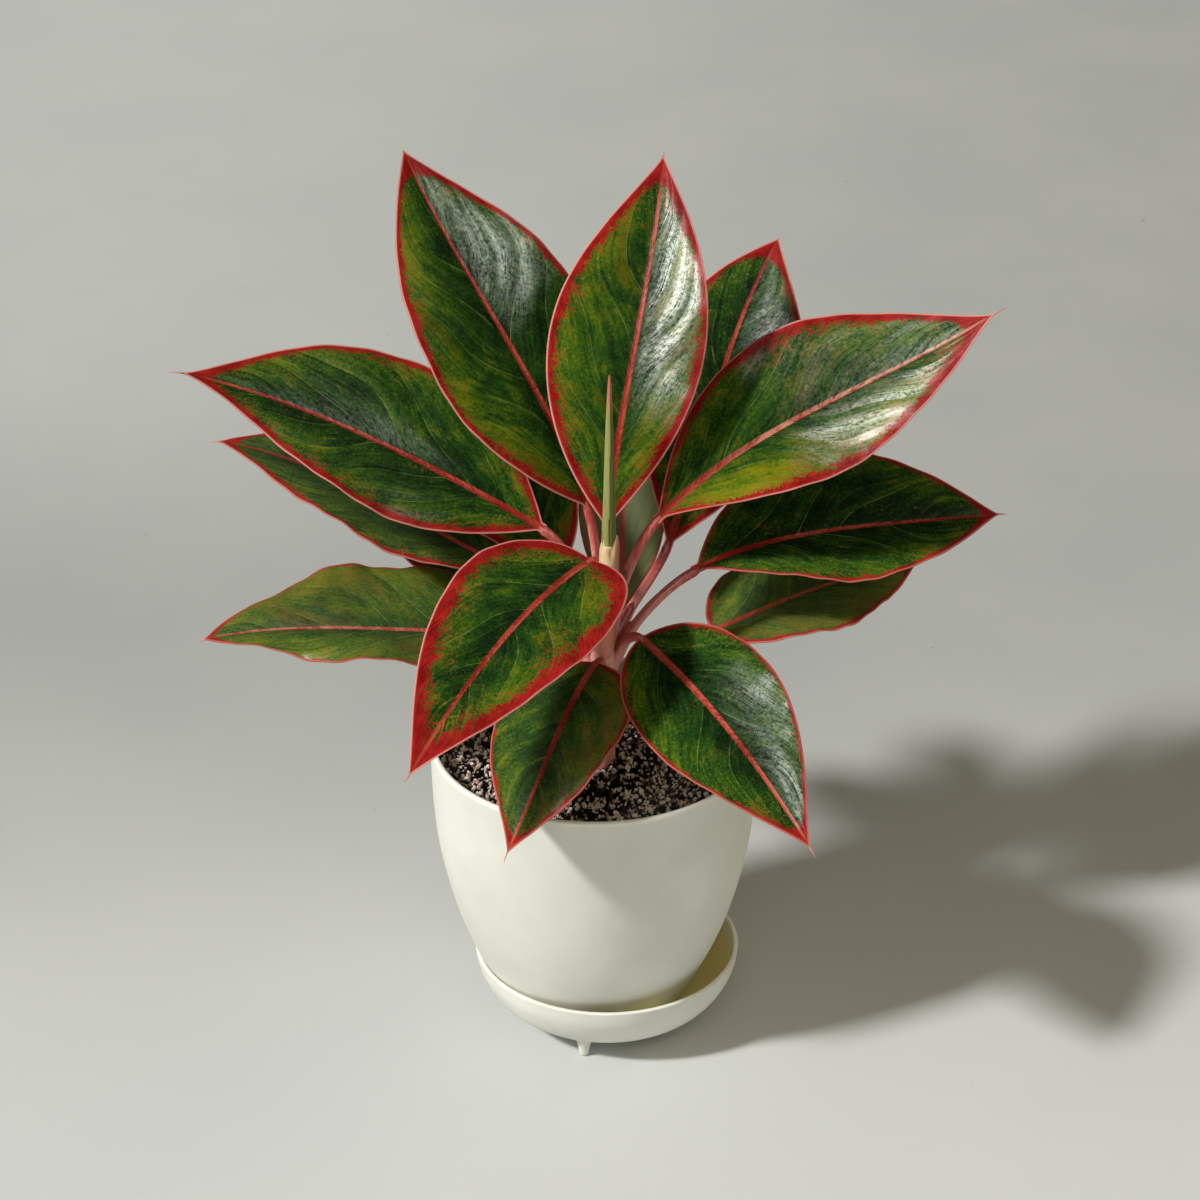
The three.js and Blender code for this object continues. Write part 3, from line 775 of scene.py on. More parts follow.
def ware_profile(sizes):
    """The profile from the axis round the lip and back, and 1 where it is inside."""
    floor_top = sizes.bottom + sizes.floor
    outside = smooth_profile(sizes.outside, WARE.wall_steps)
    angle = np.linspace(0, math.pi, WARE.lip_steps + 1)[1:-1]
    half = sizes.wall / 2
    lip = np.stack([sizes.rim_radius - half + half * np.cos(angle),
                    sizes.rim_height + sizes.wall * WARE.lip_bulge * np.sin(angle)], -1)
    inside = outside[outside[:, 1] > floor_top + WARE.corner_rise] - (sizes.wall, 0)
    out, up = WARE.corner_middle
    corner = smooth_profile([inside[0], (sizes.inside_foot + out, floor_top + up),
                             (sizes.inside_foot - WARE.corner_foot, floor_top)],
                            WARE.corner_steps)[1:]
    profile = np.concatenate([[(0, sizes.bottom)], outside, lip, inside[::-1], corner,
                              [(0, floor_top)]])
    inner = np.zeros(len(profile))
    inner[1 + len(outside) + len(lip) // 2:] = 1
    return profile, inner


def make_ware(name, sizes):
    """A thin-walled turned cup with a rounded lip, closed at the axis."""
    profile, inner = ware_profile(sizes)
    points, faces = turned(profile, WARE.sides, sizes.centre)
    piece = make_piece(name, points, faces, CREAM, {"inner_face": np.repeat(inner, WARE.sides)})
    close_poles(piece)
    return piece


def ring_of(profile, sizes, centre):
    """Equal turned bodies, evenly spaced on a circle round the centre."""
    bodies = Bundle()
    for index in range(sizes.count):
        angle = math.radians(sizes.first + 360 * index / sizes.count)
        place = (centre[0] + sizes.circle * math.cos(angle),
                 centre[1] + sizes.circle * math.sin(angle))
        points, faces = turned(profile, sizes.sides, place)
        bodies.add(points, faces, inner_face=np.zeros(len(points)))
    return bodies


def make_pot():
    pot = make_ware("pot_body", POT)
    low, high = POT.bottom - DRAINS.spare, POT.bottom + POT.floor + DRAINS.spare
    rod = [(0, low), (DRAINS.radius, low), (DRAINS.radius, high), (0, high)]
    drill = ring_of(rod, DRAINS, POT.centre).piece("drain_drill", CREAM)
    close_poles(drill)
    cut = pot.modifiers.new("drain_holes", "BOOLEAN")
    cut.object = drill
    cut.operation = "DIFFERENCE"
    cut.solver = "EXACT"
    settle(pot)
    bpy.data.objects.remove(drill)
    pot.data.set_sharp_from_angle(angle=math.radians(POT.sharp))
    belongs(pot, "cream_pot", "pot")


def make_saucer():
    saucer = make_ware("saucer_bowl", SAUCER)
    saucer.data.set_sharp_from_angle(angle=math.radians(SAUCER.sharp))
    belongs(saucer, "cream_pot", "saucer")


def make_pegs():
    """The saucer's feet. A peg's top follows the bowl's rising underside, inside its wall."""
    profile = np.concatenate([smooth_profile(PEGS.rounded, PEGS.steps), PEGS.flat_top])
    pegs = ring_of(profile, PEGS, SAUCER.centre)
    underside = smooth_profile(SAUCER.outside, WARE.wall_steps)
    for points in pegs.points:
        away = np.hypot(points[:, 0] - SAUCER.centre[0], points[:, 1] - SAUCER.centre[1])
        rise = np.clip((away - PEGS.outward_from) * PEGS.slope, 0, PEGS.most_rise)
        rise = rise * np.clip((points[:, 2] - PEGS.rise_from) / PEGS.rise_over, 0, 1)
        deepest = np.interp(away, *underside.T) + PEGS.sunk
        points[:, 2] = np.minimum(points[:, 2] + rise, deepest)
    piece = pegs.piece("saucer_pegs", CREAM)
    close_poles(piece)
    piece.data.set_sharp_from_angle(angle=math.radians(PEGS.sharp))
    belongs(piece, "cream_pot", "saucer")


# ---- soil -------------------------------------------------------------------------------

SOIL = SimpleNamespace(top=117.5, mound=1.5, lump=0.9, crumb=0.35, edge=62.2, rings=60, sides=180,
                       floor_gap=0.3, wall_gap=0.5, wall_steps=40, foot_radius=28.0, shade=0.06)
# The sheet that the granules are scattered over.
BED = SimpleNamespace(edge=60.6, lift=0.2, rings=24, sides=96)
# Stones in a square millimetre, smallest and largest half sizes, how deep they are buried,
# darkest and palest shade, seed.
GRANULES = {
    "soil_peat": (0.42, (0.5, 0.35, 0.25), (1.6, 1.0, 0.8), 0.7, 0.00, 0.90, 3),
    "soil_grit": (0.100, (0.6, 0.5, 0.4), (1.8, 1.3, 1.0), 1.2, 0.60, 1.00, 8),
    "soil_bark": (0.030, (1.4, 0.6, 0.4), (3.2, 1.2, 0.8), 0.9, 0.10, 0.92, 15),
}


def soil_height(x, y):
    lump = SOIL.lump * np.sin(0.31 * x + 0.9) * np.sin(0.27 * y + 0.4)
    return SOIL.top + SOIL.mound * (1 - (x * x + y * y) / SOIL.edge ** 2) + lump


def crumbs(x, y):
    return SOIL.crumb * np.sin(1.9 * x + 1.3 * y) * np.sin(1.7 * y - 0.8 * x + 1.1)


def make_soil():
    """The bed, whose foot and side follow the inside of the pot."""
    floor_top = POT.bottom + POT.floor + SOIL.floor_gap
    wall = smooth_profile(POT.outside, SOIL.wall_steps) - (POT.wall + SOIL.wall_gap, 0)
    wall = wall[(wall[:, 1] > floor_top + 2) & (wall[:, 1] < SOIL.top - 1)]
    below = [(0, floor_top), (SOIL.foot_radius, floor_top), *wall.tolist()]
    edge = below[-1][0]
    top = [(edge * (1 - ring / SOIL.rings), SOIL.top) for ring in range(SOIL.rings + 1)]
    points, faces = turned(below + top, SOIL.sides)
    surface = np.arange(len(points)) >= len(below) * SOIL.sides
    x, y = points[surface, 0], points[surface, 1]
    points[surface, 2] = soil_height(x, y) + crumbs(x, y)
    # The bed is near black: dark peat, and painted shade for the gaps between the granules.
    carried = {"granule_shade": np.full(len(points), SOIL.shade)}
    bed = make_piece("soil_bed", points, faces, EARTH, carried)
    close_poles(bed)
    belongs(bed, "potting_mix", "soil")


def granule_tree():
    """Scatters stones of uneven size, turn and shade over a surface."""
    tree = bpy.data.node_groups.new("soil_granules", "GeometryNodeTree")
    sockets = {"Geometry": "Geometry", "Density": "Float", "Smallest": "Vector",
               "Largest": "Vector", "Bury": "Float", "Darkest": "Float", "Palest": "Float",
               "Seed": "Int", "Finish": "Material"}
    for label, kind in sockets.items():
        tree.interface.new_socket(label, in_out="INPUT", socket_type="NodeSocket" + kind)
    tree.interface.new_socket("Geometry", in_out="OUTPUT", socket_type="NodeSocketGeometry")
    nodes = Nodes(tree)
    given = tree.nodes.new("NodeGroupInput").outputs
    leave = tree.nodes.new("NodeGroupOutput")

    def random(low, high, apart, kind="FLOAT"):
        """A random value for each stone. apart keeps one draw from following another."""
        node = nodes.add("FunctionNodeRandomValue", data_type=kind)
        first, result = (0, 0) if kind == "FLOAT_VECTOR" else (2, 1)
        nodes.put(node.inputs[first], low)
        nodes.put(node.inputs[first + 1], high)
        nodes.put(node.inputs["Seed"], nodes.plus(given["Seed"], apart))
        return node.outputs[result]

    scatter = nodes.add("GeometryNodeDistributePointsOnFaces",
                        {"Mesh": given["Geometry"], "Density": given["Density"],
                         "Seed": given["Seed"]})
    depth = random(nodes.times(given["Bury"], -1.0), given["Bury"], 11)
    buried = nodes.add("GeometryNodeSetPosition",
                       {"Geometry": scatter.outputs["Points"], "Offset": nodes.join(0, 0, depth)})
    stone = nodes.add("GeometryNodeMeshIcoSphere", {"Radius": 1.0, "Subdivisions": 1})
    any_way = random((0, 0, 0), (6.28, 6.28, 6.28), 23, "FLOAT_VECTOR")
    size = random(given["Smallest"], given["Largest"], 37, "FLOAT_VECTOR")
    spread = nodes.add("GeometryNodeInstanceOnPoints",
                       {"Points": buried.outputs[0], "Instance": stone.outputs["Mesh"],
                        "Rotation": any_way, "Scale": size})
    shaded = nodes.add("GeometryNodeStoreNamedAttribute",
                       {"Geometry": spread.outputs["Instances"], "Name": "granule_shade"},
                       data_type="FLOAT", domain="INSTANCE")
    nodes.put(shaded.inputs["Value"], random(given["Darkest"], given["Palest"], 51))
    real = nodes.add("GeometryNodeRealizeInstances", {"Geometry": shaded.outputs[0]})
    finish = nodes.add("GeometryNodeSetMaterial", {"Geometry": real.outputs[0],
                                                   "Material": given["Finish"]})
    nodes.put(leave.inputs["Geometry"], finish.outputs[0])
    return tree


def make_granules():
    tree = granule_tree()
    sockets = {item.name: item.identifier for item in tree.interface.items_tree
               if item.in_out == "INPUT"}
    rings = [(BED.edge * (1 - ring / BED.rings), SOIL.top) for ring in range(BED.rings + 1)]
    points, faces = turned(rings, BED.sides)
    points[:, 2] = soil_height(points[:, 0], points[:, 1]) + BED.lift
    for name, (density, smallest, largest, bury, darkest, palest, seed) in GRANULES.items():
        piece = make_piece(name, points, faces, EARTH)
        close_poles(piece)
        scatter = piece.modifiers.new("granules", "NODES")
        scatter.node_group = tree
        sizes = {"Density": density / MM ** 2, "Smallest": tuple(size * MM for size in smallest),
                 "Largest": tuple(size * MM for size in largest), "Bury": bury * MM,
                 "Darkest": darkest, "Palest": palest, "Seed": seed, "Finish": EARTH}
        for label, value in sizes.items():
            scatter[sockets[label]] = value
        settle(piece)
        belongs(piece, "potting_mix", "soil")


# ---- leaves -----------------------------------------------------------------------------

@dataclass
class Leaf:
    """One leaf: its place and form, which are those of the part's source, and its looks.

    Left and right are seen from the blade's base, looking towards its tip.
    """
    name: str
    base: tuple  # where the blade meets its stalk
    tip: tuple
    width: float
    roll: float  # turn of the blade about its rib, in degrees
    arch: tuple  # how far the rib's two middle knots stand up
    sway: tuple  # how far they stand to the right
    node: float  # height at which the stalk leaves the cane
    belly: float = 0.45  # part of the length at which the blade is widest
    point: float = 1.1  # how slender the tip is
    lobe: float = 0.12  # how far the base's corners are swept back
    skew: float = 0.0  # share of its width that the right half gains and the left half loses
    twist: float = 0.0  # turn from base to tip, in degrees
    wave: float = 1.2  # height, count and start of the waves along the margin
    waves: float = 2.5
    phase: float = 0.2
    hair: float = 5.0  # length of the thread at the tip
    sheath: float = 0.52  # part of the stalk that its sheath reaches
    red: float = 2.1  # width of the red margin, and the share of it that is left at the base
    base_red: float = 1.0
    yellow: float = 0.3  # how yellow-green the blade is, and how much more so on the right
    lean: float = 0.1
    wax: tuple = (0.10, 0.10)  # how much of the wax shines on the left half and on the right
    shine_from: float = 0.30  # part of the length at which the shine begins
    pale: float = 0.0  # how milky the upper side is, partly a painted grey sheen
    blush: float = 0.0  # how pale the rib turns


LEAVES = [
    Leaf("leaf_top_left", (-2, 15, 223), (-74, 75, 348), 77, 14, (8, 6), (4, -7), 160,
         belly=0.47, lobe=0.1, red=1.8, yellow=0.45, lean=-0.45, hair=2, wax=(0.03, 0.52),
         shine_from=0.52),
    Leaf("leaf_top", (5, -2, 222), (27, 71, 348), 62, -13, (11, 10), (-3, 4), 164,
         belly=0.49, point=1.2, lobe=0.1, skew=-0.1, twist=3, red=2.3, yellow=0.8, lean=0.15,
         hair=2, wax=(0.0, 0.95), shine_from=0.36),
    Leaf("leaf_upper_right", (24, 0, 225), (156, 46, 292), 68, -32, (5, -9), (-13, -3), 158,
         belly=0.48, point=1.3, lobe=0, skew=-0.09, twist=9, red=3.2, base_red=0.35, yellow=0.95,
         lean=0.6, hair=6, sheath=0.74, wax=(0.30, 1.0), shine_from=0.46, blush=0.75),
    Leaf("leaf_back_right", (29, 41, 191), (74, 109, 295), 64, -25, (3, 6), (0, -7), 154,
         belly=0.52, lobe=0.01, skew=0.07, red=1.9, yellow=0.15, hair=1, wax=(0.03, 0.30)),
    Leaf("leaf_right", (39, 10, 198), (161, 45, 204), 69, -20, (1, 0), (-14, -4), 150,
         belly=0.5, point=1.2, lobe=0.08, skew=-0.13, twist=-17, red=1.2, base_red=0.6,
         yellow=0.1, hair=4),
    Leaf("leaf_lower_right", (47, 25, 162), (130, 62, 173), 64, -5, (5, 2), (2, -5), 134,
         belly=0.43, point=0.9, lobe=0.15, twist=-13, red=1.1, yellow=0.85, hair=1,
         wax=(0.30, 0.30), pale=0.12, blush=0.2),
    Leaf("leaf_front_right", (18, -12, 180), (82, -96, 136), 58, -26, (10, 13), (-4, -3), 144,
         belly=0.39, point=1.2, lobe=0.14, twist=-4, red=0.9, yellow=0.2, wax=(0.48, 0.0),
         shine_from=0.38),
    Leaf("leaf_front", (1, -12, 169), (-33, -88, 129), 54, -3, (9, 10), (0, -5), 138,
         belly=0.4, point=1.15, red=1.0, yellow=0.65, lean=-0.45, hair=4, wax=(0.45, 0.20),
         pale=0.05),
    Leaf("leaf_front_left", (-1, -9, 213), (-69, -108, 175), 64, 17, (16, 13), (4, 3), 152,
         belly=0.34, point=1.15, lobe=0.2, twist=15, red=3.9, base_red=0.85, yellow=0.5,
         lean=-0.2, hair=3, wax=(0.0, 0.0)),
    Leaf("leaf_left", (-19, 4, 219), (-158, 14, 282), 71, 30, (-4, 3), (9, 10), 156,
         point=1.3, lobe=0.03, skew=0.12, twist=-19, red=1.9, yellow=0.35, hair=6,
         wax=(0.2, 0.2)),
    Leaf("leaf_left_back", (-33, 18, 194), (-148, 50, 234), 65, 2, (-2, 9), (5, 6), 148,
         belly=0.47, point=1, lobe=0.05, twist=-8, red=1.5, wax=(0.5, 0.5), pale=0.10),
    Leaf("leaf_lower_left", (-37, 0, 176), (-152, -8, 177), 68, 6, (6, 11), (-8, -3), 140,
         belly=0.37, point=0.95, lobe=0.14, skew=0.2, wave=2.4, phase=0.5, red=0.7, yellow=1.0,
         hair=3, wax=(0.6, 0.6), pale=0.09, blush=0.5),
    Leaf("leaf_rear_left", (-12, 32, 188), (-79, 106, 234), 60, 5, (8, 8), (0, 0), 150),
    Leaf("leaf_rear", (11, 26, 171), (12, 110, 222), 36, 0, (10, 8), (0, 0), 144, red=0.7,
         pale=0.7),
    Leaf("leaf_rear_low", (-22, 32, 172), (-104, 92, 194), 52, 8, (8, 8), (0, 0), 138),
]

BLADE = SimpleNamespace(
    rows=132, half_columns=31, fold=12.0, curl=0.12, base_half_width=1.9, tip_half_width=0.12,
    thickness=0.62, margin_thickness=0.3, rib_depth=1.9, rib_half_width=1.5, channel_depth=0.45,
    channel_half_width=1.3, frill=0.35, frills=9)
# The swells between the side veins have this depth on a blade of the usual width.
VEINS = SimpleNamespace(spacing=24.0, slant=0.30, curve=0.07, offset=0.4, wander=0.16, depth=0.42,
                        usual_width=64)
THREAD = SimpleNamespace(
    start=0.995, steps=7, sides=8, radius=0.42, taper=0.8, droop=0.25, sunk=0.15,
    carried={"blade_place": (0.0, 0.5, 0.2), "vein_flow": (0.5, 5.0, 0.0),
             "leaf_tone": (0.0, 2.5, 0.3)})


class Rib:
    """The line of a leaf's rib and the directions that go with it."""

    def __init__(self, leaf):
        self.leaf = leaf
        base, tip = np.array(leaf.base, float), np.array(leaf.tip, float)
        along = tip - base
        forward = unit(along)
        level = unit(np.cross(forward, (0.0, 0.0, 1.0)))
        roll = math.radians(leaf.roll)
        self.side = level * math.cos(roll) + np.cross(level, forward) * math.sin(roll)
        self.length = np.linalg.norm(along)
        face = np.cross(self.side, forward)
        bends = [base + along * part + face * leaf.arch[index] + self.side * leaf.sway[index]
                 for index, part in enumerate((1 / 3, 2 / 3))]
        self.knots = [base, *bends, tip]

    def at(self, t):
        """Place, way along, way across and upward face of the blade at parts t of its length."""
        t = np.atleast_1d(t)[:, None]
        a, b, c, d = self.knots
        rest = 1 - t
        place = rest ** 3 * a + 3 * rest ** 2 * t * b + 3 * rest * t ** 2 * c + t ** 3 * d
        along = unit(rest ** 2 * (b - a) + 2 * rest * t * (c - b) + t ** 2 * (d - c))
        across = unit(self.side - along * np.sum(along * self.side, -1, keepdims=True))
        turn = math.radians(self.leaf.twist) * (t - 0.5)
        across = across * np.cos(turn) + np.cross(across, along) * np.sin(turn)
        return place, along, across, np.cross(across, along)

    def half_width(self, t):
        leaf = self.leaf
        power = leaf.point * leaf.belly / (1 - leaf.belly)
        tail = ((1 - t) / (1 - leaf.belly)) ** leaf.point
        half = leaf.width / 2 * (t / leaf.belly) ** power * tail
        return np.maximum(half, np.where(t < 0.5, BLADE.base_half_width, BLADE.tip_half_width))


def blade_rows():
    """Parts of the length, closer together near both ends."""
    even = np.linspace(0, 1, BLADE.rows)
    return 0.6 * even + 0.4 * (1 - np.cos(math.pi * even)) / 2


def blade_columns():
    """Places across from -1 to 1, closer together at the rib and at the margins."""
    even = np.linspace(0, 1, BLADE.half_columns)
    half = 0.55 * even ** 1.7 + 0.45 * np.sin(math.pi / 2 * even) ** 1.6
    return np.concatenate([-half[:0:-1], half])


class Blade:
    """The grid of a blade: rows t along the rib and columns s from margin to margin.

    The leaf's number shifts each of its patterns, so that no two leaves match.
    """

    def __init__(self, leaf, number):
        self.leaf = leaf
        self.number = number
        self.rib = Rib(leaf)
        self.t = blade_rows()[:, None]
        self.s = blade_columns()[None]
        self.side = np.sign(self.s)
        self.reach = np.abs(self.s)
        self.half = self.rib.half_width(self.t) * (1 + leaf.skew * self.side)
        self.veins = self.side_veins()

    def side_veins(self):
        """The count of side veins. They leave the rib at a slant and curve to the tip."""
        count = self.rib.length / VEINS.spacing
        reach = self.reach
        wander = VEINS.wander * np.sin(3.1 * count * self.t + self.number * 1.7 + self.side)
        veins = count * (self.t - VEINS.slant * reach - VEINS.curve * reach ** 2) + wander
        return veins + 0.5 * VEINS.offset * self.side + self.number * 0.37

    def lift(self):
        """How far each place stands off the rib's line: fold, curl, swells and waves."""
        leaf, t, side, reach = self.leaf, self.t, self.side, self.reach
        fold = self.half * reach * math.sin(math.radians(BLADE.fold))
        curl = BLADE.curl * self.half * reach ** 2
        vein = np.floor(self.veins)
        depth = VEINS.depth * leaf.width / VEINS.usual_width
        depth = depth * fade(reach, 0.03, 0.3) * (1 - reach ** 6)
        depth = depth * (0.75 + 0.35 * np.sin(2.1 * vein + self.number + side))
        swell = np.sin(math.pi * (self.veins - vein)) ** 0.75 * depth * np.sin(math.pi * t) ** 0.7
        turns = leaf.waves * t + leaf.phase + 0.3 * side
        wave = leaf.wave * np.sin(math.pi * t) * np.sin(2 * math.pi * turns)
        turns = BLADE.frills * t + self.number * 0.3 + 0.4 * side
        frill = BLADE.frill * np.sin(2 * math.pi * turns) * np.sin(math.pi * t)
        channel = BLADE.channel_depth * bell(reach * self.half, BLADE.channel_half_width) * (1 - t)
        return fold - curl + swell + wave * reach ** 3 + frill * reach ** 5 - channel

    def sides(self):
        """The points of the upper side and those of the lower side."""
        t, reach, half = self.t, self.reach, self.half
        place, along, across, face = (item[:, None] for item in self.rib.at(t[:, 0]))
        out = half * self.s * math.cos(math.radians(BLADE.fold))
        back = 2 * self.leaf.lobe * (half - BLADE.base_half_width) * (1 - t) ** 3 * reach ** 2
        back = np.maximum(back, 0)
        upper = (place + across * out[..., None] + face * self.lift()[..., None]
                 - along * back[..., None])
        thick = BLADE.thickness + (BLADE.margin_thickness - BLADE.thickness) * reach ** 4
        keel = BLADE.rib_depth * (1 - t) * bell(reach * half, BLADE.rib_half_width)
        lower = upper - face * (thick + keel)[..., None]
        return upper.reshape(-1, 3), lower.reshape(-1, 3)

    def carried(self):
        """What the points carry for the leaf's finish, the upper side's first."""
        leaf, t, reach = self.leaf, self.t, self.reach
        slope = np.gradient(self.half, t[:, 0] * self.rib.length, axis=0)
        margin = self.half * (1 - reach) / np.sqrt(1 + slope ** 2)
        near_base = 1 - fade(t, 0.08, 0.55)
        red = leaf.red * (1 + (leaf.base_red - 1) * near_base)
        yellow = leaf.yellow + leaf.lean * self.s * (1 + 0.6 * near_base)
        wax = leaf.wax[0] + (leaf.wax[1] - leaf.wax[0]) * fade(self.s, -0.1, 0.1)
        wax = wax * fade(t, leaf.shine_from - 0.12, leaf.shine_from + 0.12)
        wax = wax * (0.75 + 0.25 * fade(reach, 0.15, 0.7))
        values = {
            "blade_place": [side_by_side(leaf.blush, t, margin)] * 2,
            # On the upper side, leaf.pale lays the underside's colour on thinly: a milky tone, and
            # partly a painted grey sheen.
            "vein_flow": [side_by_side(self.veins, reach * self.half, under)
                          for under in (leaf.pale, 1.0)],
            "leaf_tone": [side_by_side(self.number * 7.3, red, yellow)] * 2,
            "leaf_wax": [wax.ravel(), np.zeros(wax.size)],
        }
        return {label: np.concatenate(sides) for label, sides in values.items()}


def add_thread(body, rib, length):
    """The thread that a blade ends in. It droops towards the leaf's lower side."""
    place, along, _, face = (item[0] for item in rib.at(np.array([THREAD.start])))
    out = np.linspace(0, 1, THREAD.steps)[:, None]
    path = place + along * out * length - face * out ** 2 * THREAD.droop * length
    widths = THREAD.radius * (1 - THREAD.taper * out[:, 0])
    points, faces, _, _ = stem(path - face * THREAD.sunk, widths, face, THREAD.sides)
    carried = {label: np.tile(values, (len(points), 1))
               for label, values in THREAD.carried.items()}
    body.add(points, faces, leaf_wax=np.zeros(len(points)), **carried)


def make_blade(leaf, number):
    blade = Blade(leaf, number)
    body = Bundle()
    body.add(np.concatenate(blade.sides()), sheet_faces(*blade.half.shape), **blade.carried())
    add_thread(body, blade.rib, leaf.hair)
    piece = body.piece(leaf.name + "_blade", GREEN)
    belongs(piece, "leaf_blade", leaf.name)


# ---- shoot ------------------------------------------------------------------------------

STEM_KINDS = ["cane", "stalk", "sheath", "young sheath"]
CANE = SimpleNamespace(foot=(2, -2, 84), middle=(2, -3, 130), top=(4, -3, 170), radius=6.4,
                       taper=0.25, rings=9, ring_height=0.35, ring_width=0.08, steps=60, sides=32)
STALK = SimpleNamespace(sheath_radius=3.2, neck_radius=1.9, into_blade=2.5, under_blade=1.25,
                        sheath_part=0.55, groove=0.30, groove_width=0.55, groove_ends=0.75,
                        outward=0.35, upright_part=0.4, level_part=0.3, longest_level=14,
                        steps=46, sides=20)
SHEATH = SimpleNamespace(start=0.12, radius=2.2, taper=0.30, flatness=0.72, lip_from=0.86,
                         steps=40, sides=18)
SPEAR = SimpleNamespace(base=np.array([6.0, -7.4, 219.0]), tip=np.array([6.0, -4.0, 290.0]),
                        radius=2.9, sunk=3.0, bow=0.5, steps=64, sides=36)
# The notch and the tall side of the lip: millimetres, then its middle and its half width as
# angles from the front.
SPEAR_SHEATH = SimpleNamespace(
    root=0.9, straight=25.0, radius=3.9, lip=(0.97, 0.93, 0.86), turns_in=0.1, runs_back=12.0,
    notch=(4.5, 0.25, 0.42), tall_side=(4.0, 1.35, 0.55), steps=48, sides=48)
FRONT = np.array([0.0, -1.0, 0.0])


def add_stem(shoot, kind, path, widths, facing, sides, shape=None):
    points, faces, part, toward = stem(path, widths, facing, sides, shape)
    carried = side_by_side(float(STEM_KINDS.index(kind)), part, toward)
    shoot.add(points, faces, stalk_place=carried)


def cane_point(part):
    return bezier((CANE.foot, CANE.middle, CANE.top), [part])[0]


def add_cane(shoot):
    parts = np.linspace(0, 1, CANE.steps)
    widths = CANE.radius * (1 - CANE.taper * parts ** 2)
    rings = CANE.ring_height * bell(parts * CANE.rings % 1 - 0.5, CANE.ring_width)
    path = bezier((CANE.foot, CANE.middle, CANE.top), parts)
    add_stem(shoot, "cane", path, widths + rings, np.array([0.0, -1.0, 0.2]), CANE.sides)


def stalk_path(leaf):
    """From the cane up and out to below the blade's base and on into it, and the blade's face."""
    root = cane_point((leaf.node - CANE.foot[2]) / (CANE.top[2] - CANE.foot[2]))
    place, along, _, face = (item[0] for item in Rib(leaf).at(np.array([0.0])))
    base = place - face * STALK.under_blade
    out = base - root
    rise = np.linalg.norm(out)
    outward = out[:2] * STALK.outward / rise
    upright = unit(np.array([*outward, 1.0])) * rise * STALK.upright_part
    level = along * min(STALK.longest_level, rise * STALK.level_part)
    knots = (root, root + upright, base - level, base)
    path = even_steps(bezier(knots, np.linspace(0, 1, 80)), STALK.steps)
    return np.concatenate([path, [base + along * STALK.into_blade]]), face


def add_stalk(shoot, leaf, number):
    path, face = stalk_path(leaf)
    part = np.linspace(0, 1, len(path))
    sheath = fade(STALK.sheath_part - part, 0, 0.3)
    widths = STALK.neck_radius + (STALK.sheath_radius - STALK.neck_radius) * sheath
    widths = widths * (1 + 0.03 * np.sin(17 * part + number))
    widths[-1] *= 0.6

    def grooved(angle, steps):
        """A groove along the side that faces the blade. It runs out towards the neck."""
        width = STALK.groove_width
        groove = STALK.groove * (bell(angle, width) + bell(angle - 2 * math.pi, width))
        strength = (1 - fade(np.linspace(0, 1, steps), STALK.groove_ends, 1.0))[:, None]
        return 1 - groove[None] * strength

    add_stem(shoot, "stalk", path, widths, face, STALK.sides, grooved)
    stop = int((leaf.sheath + 0.04 * math.sin(number * 2.4)) * len(path))
    add_sheath(shoot, path[int(SHEATH.start * len(path)):stop], face)


def add_sheath(shoot, path, face):
    """Wraps the lower stalk on its inner side and ends in a free, rounded lip."""
    run = even_steps(path, SHEATH.steps)
    heading = unit(run[-1] - run[0])
    inner = unit(face - heading * np.dot(face, heading))
    part = np.linspace(0, 1, len(run))
    offset = STALK.neck_radius * (0.85 + 0.80 * part ** 2)
    lip = np.sqrt(1 - 0.97 * fade(part, SHEATH.lip_from, 1.0) ** 2)
    widths = SHEATH.radius * (1 - SHEATH.taper * part) * lip

    def flattened(angle, steps):
        width = 1 / np.sqrt((np.cos(angle) / SHEATH.flatness) ** 2 + np.sin(angle) ** 2)
        return np.tile(width, (steps, 1))

    run = run + inner * offset[:, None]
    add_stem(shoot, "sheath", run, widths, face, SHEATH.sides, flattened)


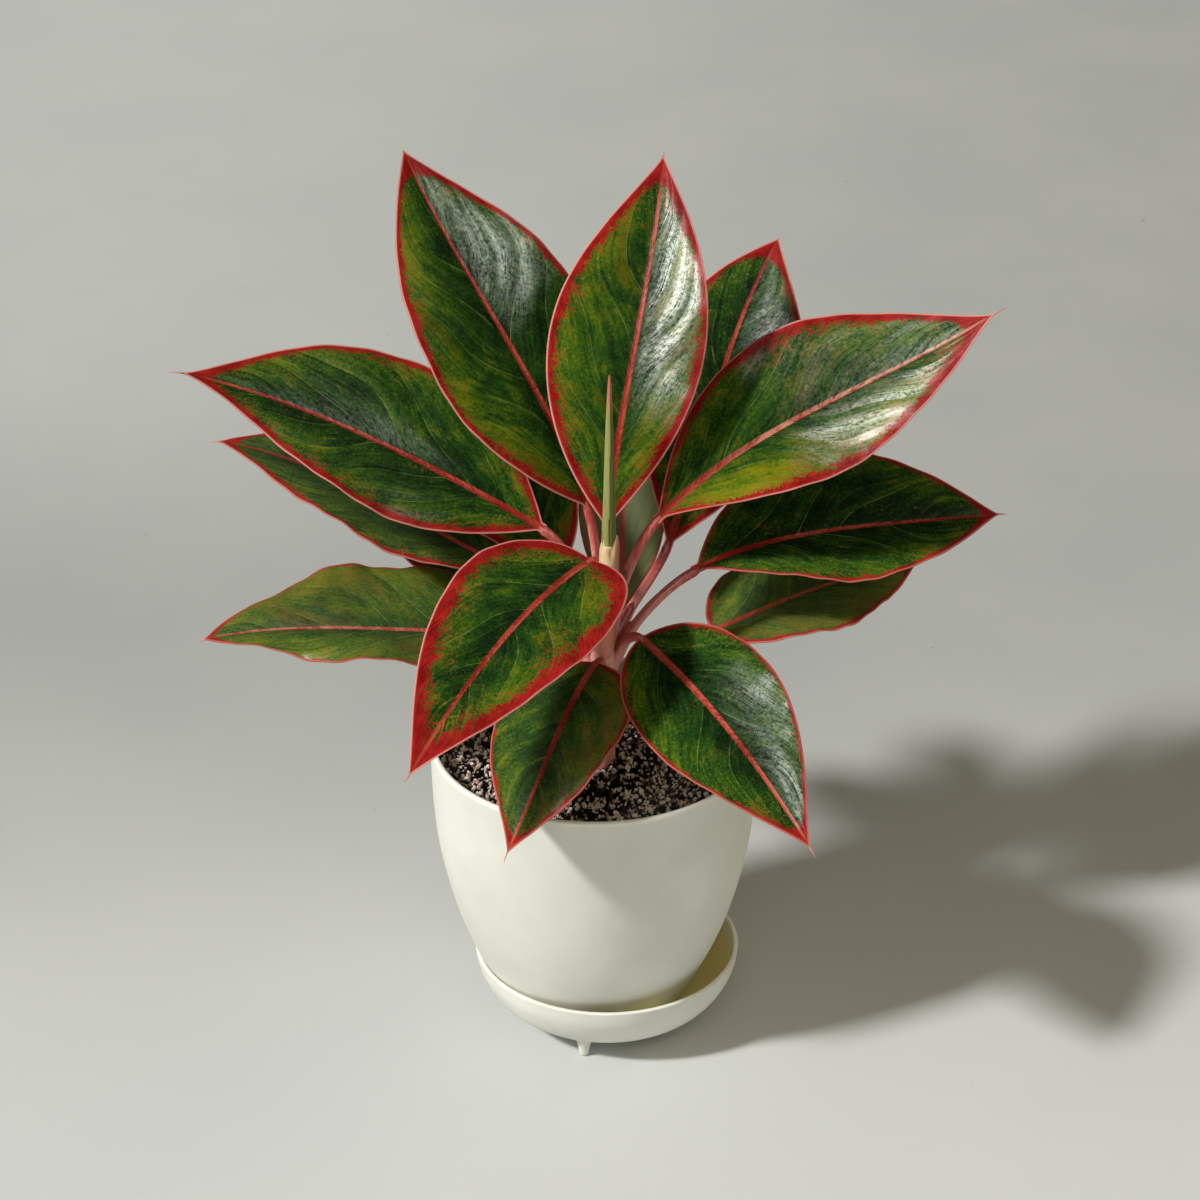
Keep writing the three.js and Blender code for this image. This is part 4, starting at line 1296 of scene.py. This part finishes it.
def add_spear_sheath(shoot):
    """The pale sheath that the young leaf grows out of, with a notched lip at the front.

    Its wall turns over at the lip and runs back down inside, against the young leaf.
    """
    form = SPEAR_SHEATH
    lean = unit(SPEAR.tip - SPEAR.base)
    knots = (cane_point(form.root), SPEAR.base - lean * form.straight, SPEAR.base)
    path = even_steps(bezier(knots, np.linspace(0, 1, 60)), form.steps)
    inside = path[-1] - np.outer((form.turns_in, form.runs_back), lean)
    path = np.concatenate([path, inside])
    widths = np.full(len(path), form.radius)
    widths[-5:-2] *= form.lip
    widths[-2:] = SPEAR.radius * 0.95
    add_stem(shoot, "young sheath", path, widths, FRONT, form.sides)
    angle = np.linspace(-math.pi, math.pi, form.sides, endpoint=False)
    angle = np.roll(angle, form.sides // 2)
    notch, tall = (height * bell(angle - middle, width)
                   for height, middle, width in (form.notch, form.tall_side))
    share = fade(np.arange(len(path)) / (form.steps - 1), 0.70, 1.0)
    share[-1] = 0
    shoot.points[-1] += (share[:, None] * (tall - notch)).reshape(-1, 1) * lean


def make_shoot():
    shoot = Bundle()
    add_cane(shoot)
    for number, leaf in enumerate(LEAVES):
        add_stalk(shoot, leaf, number)
    add_spear_sheath(shoot)
    belongs(shoot.piece("shoot_stems", PINK, 55), "pink_stalk", "shoot")


def make_spear():
    """The young leaf, rolled round itself, with the edge of its outer turn as a seam."""
    part = np.linspace(0, 1, SPEAR.steps)
    foot = SPEAR.base - (0, 0, SPEAR.sunk)
    path = foot + (SPEAR.tip - foot) * part[:, None]
    path = path + SPEAR.bow * FRONT * np.sin(math.pi * part)[:, None]
    widths = SPEAR.radius * (0.06 + 0.94 * (1 - part) ** 0.58)
    angle = np.linspace(0, 2 * math.pi, SPEAR.sides, endpoint=False)
    past_seam = (angle[None] - (0.5 * part - 0.1)[:, None]) % (2 * math.pi)

    def rolled(angle, steps):
        return 1.0 - 0.20 * np.exp(-past_seam / 0.35) + 0.03 * np.sin(3 * past_seam)

    points, faces, along, _ = stem(path, widths, FRONT, SPEAR.sides, rolled)
    seam = np.exp(-past_seam / 1.9).ravel()
    carried = {"spear_place": side_by_side(seam, along, 0.0)}
    piece = make_piece("spear_leaf_roll", points, faces, YOUNG, carried, 60)
    belongs(piece, "young_leaf", "spear_leaf")


# ---- floor ------------------------------------------------------------------------------

FLOOR_REACH = 6000.0


def make_floor():
    corners = [(x * FLOOR_REACH, y * FLOOR_REACH, 0)
               for x, y in ((-1, -1), (1, -1), (1, 1), (-1, 1))]
    floor = make_piece("studio_floor", corners, [[0, 1, 2, 3]], floor_finish())


# ---- the whole object -------------------------------------------------------------------

GREEN = leaf_finish()
PINK = stalk_finish()
YOUNG = spear_finish()
CREAM = cream_finish()
EARTH = granule_finish()

place_camera()
place_sun()
place_softboxes()
place_sky()
make_pot()
make_saucer()
make_pegs()
make_soil()
make_granules()
make_shoot()
make_spear()
for number, leaf in enumerate(LEAVES):
    make_blade(leaf, number)
make_floor()
